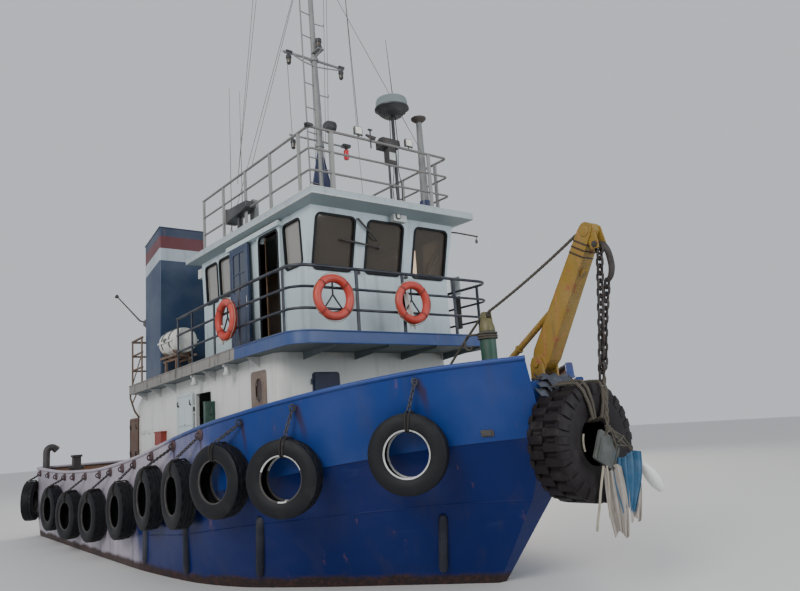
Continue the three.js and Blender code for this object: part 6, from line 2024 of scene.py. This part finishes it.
def make_king_post():
    base = deck_height(POST_X)
    p, top, wire = Piece(), Piece(), Piece()
    p.lathe(disc(POST_RADIUS, -0.03, POST_TOP - 0.2 - base), (POST_X, 0, base), Z, 36)
    p.lathe(band(POST_RADIUS, 0.15, 0.0, 0.025), (POST_X, 0, POST_TOP - 0.95), Z, 36)
    p.box((POST_X - 0.25, -0.25, base - 0.06), (POST_X + 0.25, 0.25, base + 0.03))
    for k in range(4):
        a = radians(45 + 90 * k)
        u = Vector((cos(a), sin(a), 0))
        n = Vector((-sin(a), cos(a), 0)) * 0.007
        web = ((0.1, 0.02), (0.24, 0.02), (0.24, 0.05), (0.1, 0.32))
        tri = [Vector((POST_X, 0, base)) + u * r + Z * h for r, h in web]
        p.skin([[q - n for q in tri], [q + n for q in tri]])
    p.tube([(POST_X, -0.24, base + 0.78), (POST_X, 0.24, base + 0.78)], 0.035, 14)
    for y in (-0.24, 0.24):
        p.lathe(disc(0.05, -0.008, 0.008), (POST_X, y, base + 0.78), Y, 18)
    p.done("king_post_column", coat.post_green, replaces=["king_post"], slot="post_green", bevel=0.003)
    top.lathe([(0, 0), (0.121, 0), (0.12, 0.05), (0.085, 0.17), (0.06, 0.195), (0, 0.2)],
              (POST_X, 0, POST_TOP - 0.2), Z, 36)
    for y in (-0.06, 0.06):
        cheek = ((-0.06, -0.06), (0.07, -0.06), (0.05, 0.09), (-0.03, 0.09))
        top.prism([(POST_X + u, POST_TOP + v) for u, v in cheek], "Y", y - 0.008, y + 0.008)
    top.done("king_post_head", coat.post_yellow, bevel=0.003)
    # Turns of wire round the post, a sheave and its hook
    for k in range(9):
        z = POST_TOP - 0.3 + 0.036 * (k % 3) - 0.72 * (k // 3)
        wire.torus((POST_X, 0, z), (Z + X * 0.04 * (k % 2)).normalized(), 0.136, 0.017, 36, 8)
    wire.lathe([(0, -0.03), (0.05, -0.03), (0.05, -0.018), (0.032, -0.01), (0.032, 0.01), (0.05, 0.018),
                (0.05, 0.03), (0, 0.03)], (POST_X + 0.01, 0, POST_TOP + 0.045), Y, 24)
    hook = [(POST_X - 0.1, -0.1, 3.5), (POST_X - 0.24, -0.14, 3.5), (POST_X - 0.33, -0.15, 3.42),
            (POST_X - 0.32, -0.15, 3.31), (POST_X - 0.24, -0.14, 3.28), (POST_X - 0.19, -0.13, 3.34)]
    wire.tube(smooth_line(hook, 5), 0.016, 8)
    deck = deck_height(4.62)
    tail = [(POST_X - 0.045, 0, POST_TOP + 0.075), (6.1, 0, 3.17), (4.62, 0, deck + 0.05)]
    wire.tube(smooth_line(tail, 8), 0.019, 8)
    wire.box((4.5, -0.06, deck - 0.01), (4.7, 0.06, deck + 0.02))
    wire.torus((4.62, 0, deck + 0.045), Y, 0.04, 0.014, 20, 8)
    wire.done("king_post_wire", coat.rope_old)
    # Topping wire from the post's sheave to the boom's head, bent a little with the boom
    topping = Piece()
    start, end = Vector((POST_X + 0.06, 0, POST_TOP + 0.085)), Vector((8.74, -0.05, 4.53))
    shares = [k / 24 for k in range(25)]
    line = [start.lerp(end, t) - Z * 0.12 * t * (1 - t) for t in shares]
    topping.tube(line, 0.02, 10)
    for a, b in zip(line, line[1:]):
        topping.torus(a.lerp(b, 0.5), (b - a).normalized(), 0.019, 0.006, 14, 6)
    piece = topping.done("topping_wire", coat.rope_old, body=None)
    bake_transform(piece)


make_king_post()


# Strands of the sling below the chain's rope, each from one point to another
SLING = (
    ((8.86, 0.0, 2.04), (8.852, 0.09, 1.78)), ((8.86, 0.0, 2.04), (8.852, -0.1, 1.96)),
    ((8.86, 0.01, 2.04), (8.87, 0.2, 1.79)), ((8.86, 0.02, 2.04), (8.88, 0.35, 1.72)),
    ((8.87, 0.04, 1.95), (8.89, 0.5, 1.655)), ((8.87, 0.1, 1.86), (8.88, 0.23, 1.93)),
    ((8.87, 0.22, 1.93), (8.88, 0.4, 1.7)), ((8.87, 0.06, 1.83), (8.88, 0.3, 1.8)),
    ((8.86, 0.0, 2.03), (8.87, 0.26, 1.9)),
)


def make_boom_chain():
    p, rope, plate = Piece(), Piece(), Piece()
    p.tube([CHAIN_TOP - Y * 0.0995, CHAIN_TOP + Y * 0.0995], 0.0298, 16)
    for y in (-0.0985, 0.0985):
        p.lathe(disc(0.045, -0.006, 0.006), CHAIN_TOP + Y * y, Y, 6)
    hook = [(9.03, 0.0, 4.35), (9.075, 0.02, 4.33), (9.12, 0.05, 4.22), (9.13, 0.07, 4.07),
            (9.09, 0.09, 3.93), (9.02, 0.1, 3.86)]
    p.tube(smooth_line(hook, 5), [0.03 + 0.012 * sin(pi * t / 25) for t in range(26)], 14)
    p.torus((9.035, 0.0, 4.27), Y, 0.055, 0.018, 22, 8)
    chain(p, [(9.03, -0.01, 4.2), (8.91, -0.01, 3.2), (8.825, -0.005, 2.6)], 0.135, 0.0165)
    chain(p, [(9.01, 0.1, 3.84), (8.9, 0.085, 3.3), (8.86, 0.05, 2.86)], 0.13, 0.0165)
    p.torus((8.85, 0.03, 2.8), Y, 0.05, 0.014, 20, 8)
    p.done("boom_chain_links", coat.chain_brown, body="boom_chain", replaces=["boom_chain"],
           slot="chain_steel")
    down = [(8.85, 0.03, 2.79), (8.84, 0.015, 2.4), (8.825, 0.0, 2.02)]
    for turn in (0.0, pi):
        line = smooth_line(down, 16)
        twist = [Vector((cos(t * 0.6 + turn), sin(t * 0.6 + turn), 0)) * 0.012 for t in range(len(line))]
        rope.tube([Vector(q) + offset for q, offset in zip(line, twist)], 0.013, 8)
    for a, b in SLING:
        rope.tube([a, Vector(a).lerp(Vector(b), 0.5) + X * 0.01, b], 0.009, 6)
    for k in range(4):
        rope.torus((8.828, 0.0, 2.0 + 0.022 * k), (Z + Y * 0.1).normalized(), 0.03, 0.011, 18, 6)
    rope.done("chain_rope", coat.rope_old, body="boom_chain")
    tilt = Matrix.Translation((8.825, -0.07, 1.775)) @ Matrix.Rotation(radians(-28), 4, "X")
    plate.at = tilt @ Matrix((Y, Z, X)).transposed().to_4x4()
    ring_of(plate, Matrix.Identity(4), rounded(-0.215, 0.215, -0.19, 0.19, 0.03, 5),
            rounded(0.07, 0.13, 0.11, 0.16, 0.024, 5), -0.019, 0.019)
    for u in (-0.165, 0.165):
        plate.box((u - 0.008, -0.17, 0.018), (u + 0.008, 0.1, 0.035))
    plate.done("chain_plate", coat.plate_grey, body="boom_chain", bevel=0.004)
    # Float held out by its line
    body = Piece()
    a, b = Vector((8.87, 0.53, 1.6)), Vector((8.87, 0.93, 1.19))
    along, long = (b - a).normalized(), (b - a).length
    profile = [(0, 0), (0.02, 0.0), (0.026, 0.03), (0.03, 0.06), (0.055, 0.11), (0.078, 0.2), (0.085, 0.3),
               (0.078, 0.42), (0.05, long - 0.04), (0.025, long - 0.01), (0, long)]
    body.lathe(profile, a, along, 28)
    body.torus(a + along * 0.02, along.cross(X).normalized(), 0.022, 0.008, 18, 8)
    body.done("chain_float", coat.float_white, body="boom_chain", smooth=60)


make_boom_chain()


# Torn cloths in the sling and at two life rings, each a pleated sheet that tapers to its lower edge
def pleat_depth(pitch, spread):
    """Depth of a sine pleat of this pitch whose length is pitch / spread, found by halving."""
    low, high = 0.0, pitch * 3
    for _ in range(24):
        depth = (low + high) / 2
        steps = [(pitch * t / 24, depth * sin(2 * pi * t / 24)) for t in range(25)]
        run = sum(hypot(b[0] - a[0], b[1] - a[1]) for a, b in zip(steps, steps[1:]))
        low, high = (depth, high) if run < pitch / spread else (low, depth)
    return depth


def make_cloth(name, material, top, wide, drop, folds, gather, taper, lean, turns, holder, body):
    """top is the middle of its upper edge; wide and drop are its flat size; gather is how far it is drawn in.

    turns holds the direction of the upper and lower edges, as angles from athwart.
    """
    across, down = 16 * folds, 44
    rows = []
    for j in range(down + 1):
        v = j / down
        flat = wide * (1 - taper * v)
        drawn = gather + (1 - gather) * 0.35 * sin(pi * v)
        pitch = flat * drawn / folds
        depth = pleat_depth(pitch, drawn)
        turn = turns[0] + (turns[1] - turns[0]) * v
        row = []
        for i in range(across + 1):
            u = i / across
            y = (u - 0.5) * flat * drawn
            x = depth * sin(2 * pi * folds * u + 0.9 * sin(3.1 * v + 4 * u))
            sag = -0.1 * wide * (1 - v) * sin(pi * u) - 0.04 * sin(7 * u + 2 * v)
            row.append((top[0] + x * cos(turn) + y * sin(turn),
                        top[1] + y * cos(turn) - x * sin(turn) + lean * v, top[2] + sag - drop * v))
        rows.append(row)
    p = Piece()
    p.skin(rows, ring=False, capped=False)
    area = sum(face.calc_area() for face in p.bm.faces)
    piece = p.done("cloth_rag_" + name, material, body=body, smooth=80)


CLOTHS = (
    # name, finish, top, wide, drop, folds, gather, taper, lean, turns, holder, body
    ("blue", coat.cloth_blue, (8.93, 0.18, 1.76), 0.66, 0.7,
     5, 0.55, 0.55, -0.1, (0.68, 0.5), "chain_rope", "boom_chain"),
    ("pale", coat.cloth_pale, (8.85, -0.03, 1.6), 0.4, 0.82,
     3, 0.55, 0.25, 0.02, (0.68, 1.0), "chain_plate", "boom_chain"),
    ("small", coat.cloth_pale, (8.95, 0.24, 1.44), 0.3, 0.5,
     2, 0.6, 0.15, -0.08, (0.6, 0.2), "cloth_rag_blue", "boom_chain"),
    ("ring", coat.cloth_white, (5.07, 0.02, 4.5), 0.24, 0.62,
     2, 0.5, 0.3, 0.1, (0.1, 0.4), "rail_front", "tug"),
    ("side", coat.cloth_white, (2.5, -2.2, 4.22), 0.2, 0.3,
     2, 0.6, 0.1, 0.0, (1.5, 1.4), "life_ring_side_line", "tug"),
)
for cloth in CLOTHS:
    make_cloth(*cloth)


def make_frayed_rope(name, points, diameter):
    p = Piece()
    line = smooth_line(points, 4)
    p.tube(line, diameter / 2, 10)
    piece = p.done(name, coat.rope_pale, body="boom_chain")


make_frayed_rope("rope_end_long",
                 [(8.85, -0.21, 1.6), (8.853, -0.255, 1.5), (8.85, -0.32, 1.32), (8.845, -0.38, 1.12),
                  (8.84, -0.43, 0.98), (8.84, -0.46, 0.88)], 0.03)
make_frayed_rope("rope_end_short",
                 [(8.86, -0.16, 1.6), (8.87, -0.17, 1.5), (8.872, -0.19, 1.3), (8.868, -0.215, 1.12),
                  (8.865, -0.22, 1.0)], 0.024)


# Towing hook, propellers and rudders
def make_towing_hook():
    low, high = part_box("towing_hook")
    p = Piece()
    x, z, thick = TOWING_POSTS["x"], low.z, high.z - low.z
    outer = arc((x - 0.4, 0.06), 0.15, 30, 243, 26)
    inner = arc((x - 0.4, 0.06), 0.062, 243, 342, 12)
    outline = [(x + 0.09, -0.055), (x + 0.09, 0.055), (x - 0.28, 0.06), *outer, *inner, (x - 0.31, -0.055)]
    p.prism(outline, "Z", z + 0.0006, z + thick)
    p.lathe([(0, thick - 0.006), (0.05, thick - 0.006), (0.05, thick + 0.012), (0.035, thick + 0.02),
             (0, thick + 0.02)], (x, 0, z), Z, 6)
    p.done("towing_hook_forging", coat.hook_steel, body="towing_hook", bevel=0.012,
           replaces=["towing_hook"], slot="chain_steel")


make_towing_hook()


# Blade stations: radius, chord, thickness
BLADE = (
    (0.1, 0.2, 0.046), (0.18, 0.27, 0.04), (0.3, 0.335, 0.03), (0.42, 0.34, 0.022),
    (0.52, 0.28, 0.016), (0.58, 0.17, 0.01), (0.598, 0.05, 0.006),
)
PITCH = 0.92  # how far one turn of the screw would carry it
# Blade section, as shares of the chord and of the thickness
LENS = ((-0.5, 0.0), (-0.3, 0.4), (0.0, 0.5), (0.3, 0.38), (0.5, 0.0), (0.3, -0.34), (0.0, -0.4),
        (-0.3, -0.34))


# Rudder section from its after edge: x, half thickness, share of the full half thickness
FOIL = ((-7.52, 0.008, 0), (-7.3, 0, 0.62), (-7.05, 0, 1), (-6.85, 0, 1), (-6.76, 0, 0.7), (-6.722, 0, 0.3))
PROPELLER_X = -5.95
STIFFENER = ((-7.45, 0.014), (-7.05, 0.0375), (-6.8, 0.0375))  # bar on a rudder: x, distance from its middle


def blade_angle(radius):
    """Angle of the blade to the plane of the disc, flatter towards the tip."""
    return min(0.75, PITCH / (2 * pi * radius) * 0.9)


def make_propeller(name, side):
    centre = Vector((PROPELLER_X, side * SHAFT["y"], SHAFT["z"]))
    p = Piece()
    hub = [(0, -0.165), (0.035, -0.16), (0.08, -0.12), (0.105, -0.04), (0.119, 0.08), (0.119, 0.2),
           (0, 0.2045)]
    p.lathe(hub, centre, X, 32)
    for k in range(4):
        turn = Matrix.Translation(centre) @ Matrix.Rotation(pi / 2 * k, 4, "X")
        rows = []
        for r, chord, thick in smooth_line(BLADE, 3):
            angle = side * blade_angle(r)
            along = Vector((-sin(angle), cos(angle), 0))
            out = Vector((cos(angle), sin(angle), 0))
            skew = 0.1 * (r / 0.6) ** 2 * side
            middle = Z * r * cos(skew) + Y * r * sin(skew)
            rows.append([turn @ (middle + along * a * chord + out * b * thick) for a, b in LENS])
        p.skin(rows)
    node = f"propeller_{name}"
    p.done(node + "_screw", coat.bronze, body=node, replaces=[node], slot="bronze", smooth=50)


def make_rudder(name, side):
    p, y = Piece(), side * SHAFT["y"]
    rows = []
    for z, grow in ((-1.7, 0.55), (-1.68, 0.9), (-1.6, 1.0), (-0.5, 1.0), (-0.44, 0.9), (-0.42, 0.55)):
        foil = [(x, edge + 0.034 * grow * share) for x, edge, share in FOIL]
        rows.append([(x, y - w, z) for x, w in foil] + [(x, y + w, z) for x, w in reversed(foil)])
    p.skin(rows)
    p.tube([(RUDDER_X, y, -0.46), (RUDDER_X, y, -0.3603)], 0.0548, 22)
    p.lathe(band(0.05, 0.085, 0.0, 0.03), (RUDDER_X, y, -0.425), Z, 22)
    for z in (-0.75, -1.1, -1.45):
        bar = [(x, y + w) for x, w in STIFFENER] + [(x, y + w - 0.01) for x, w in reversed(STIFFENER)]
        p.prism(bar, "Z", z - 0.02, z + 0.02)
    node = f"rudder_{name}"
    p.done(node + "_blade", coat.red_lead, body=node, replaces=[node], slot="red_lead", smooth=40)


for name, side in SIDES.items():
    make_propeller(name, side)
    make_rudder(name, side)


# Stage: pale floor at the waterline, soft studio light
def make_stage():
    p = Piece()
    p.box((-90, -90, -0.02), (90, 90, 0))
    mesh = bpy.data.meshes.new("floor")
    p.bm.to_mesh(mesh)
    floor = bpy.data.objects.new("floor", mesh)
    bpy.context.scene.collection.objects.link(floor)
    mesh.materials.append(Shader("floor", 0.6, base_color=(0.62, 0.62, 0.61)).mat)
    world = bpy.data.worlds.new("studio")
    world.use_nodes = True
    back = world.node_tree.nodes["Background"]
    back.inputs[0].default_value = (0.8, 0.84, 0.9, 1)
    back.inputs[1].default_value = 0.75
    bpy.context.scene.world = world
    lamps = [
        # name, place, aimed at, size, watts, colour
        ("key", (16, -24, 17), (0, -1, 2.5), 14, 5200, (1, 0.97, 0.93)),
        ("fill", (24, 6, 8), (4, 0, 3), 12, 1500, (0.9, 0.95, 1)),
        ("back", (-16, 18, 14), (0, 0, 4), 12, 3200, (1, 0.88, 0.75)),
    ]
    for name, place, target, size, watts, color in lamps:
        data = bpy.data.lights.new(name, "AREA")
        data.shape = "DISK"
        data.size = size
        data.energy = watts
        data.color = color
        light = bpy.data.objects.new(name, data)
        light.location = place
        light.rotation_euler = (Vector(target) - Vector(place)).to_track_quat("-Z", "Y").to_euler()
        bpy.context.scene.collection.objects.link(light)


make_stage()

bpy.context.view_layer.update()
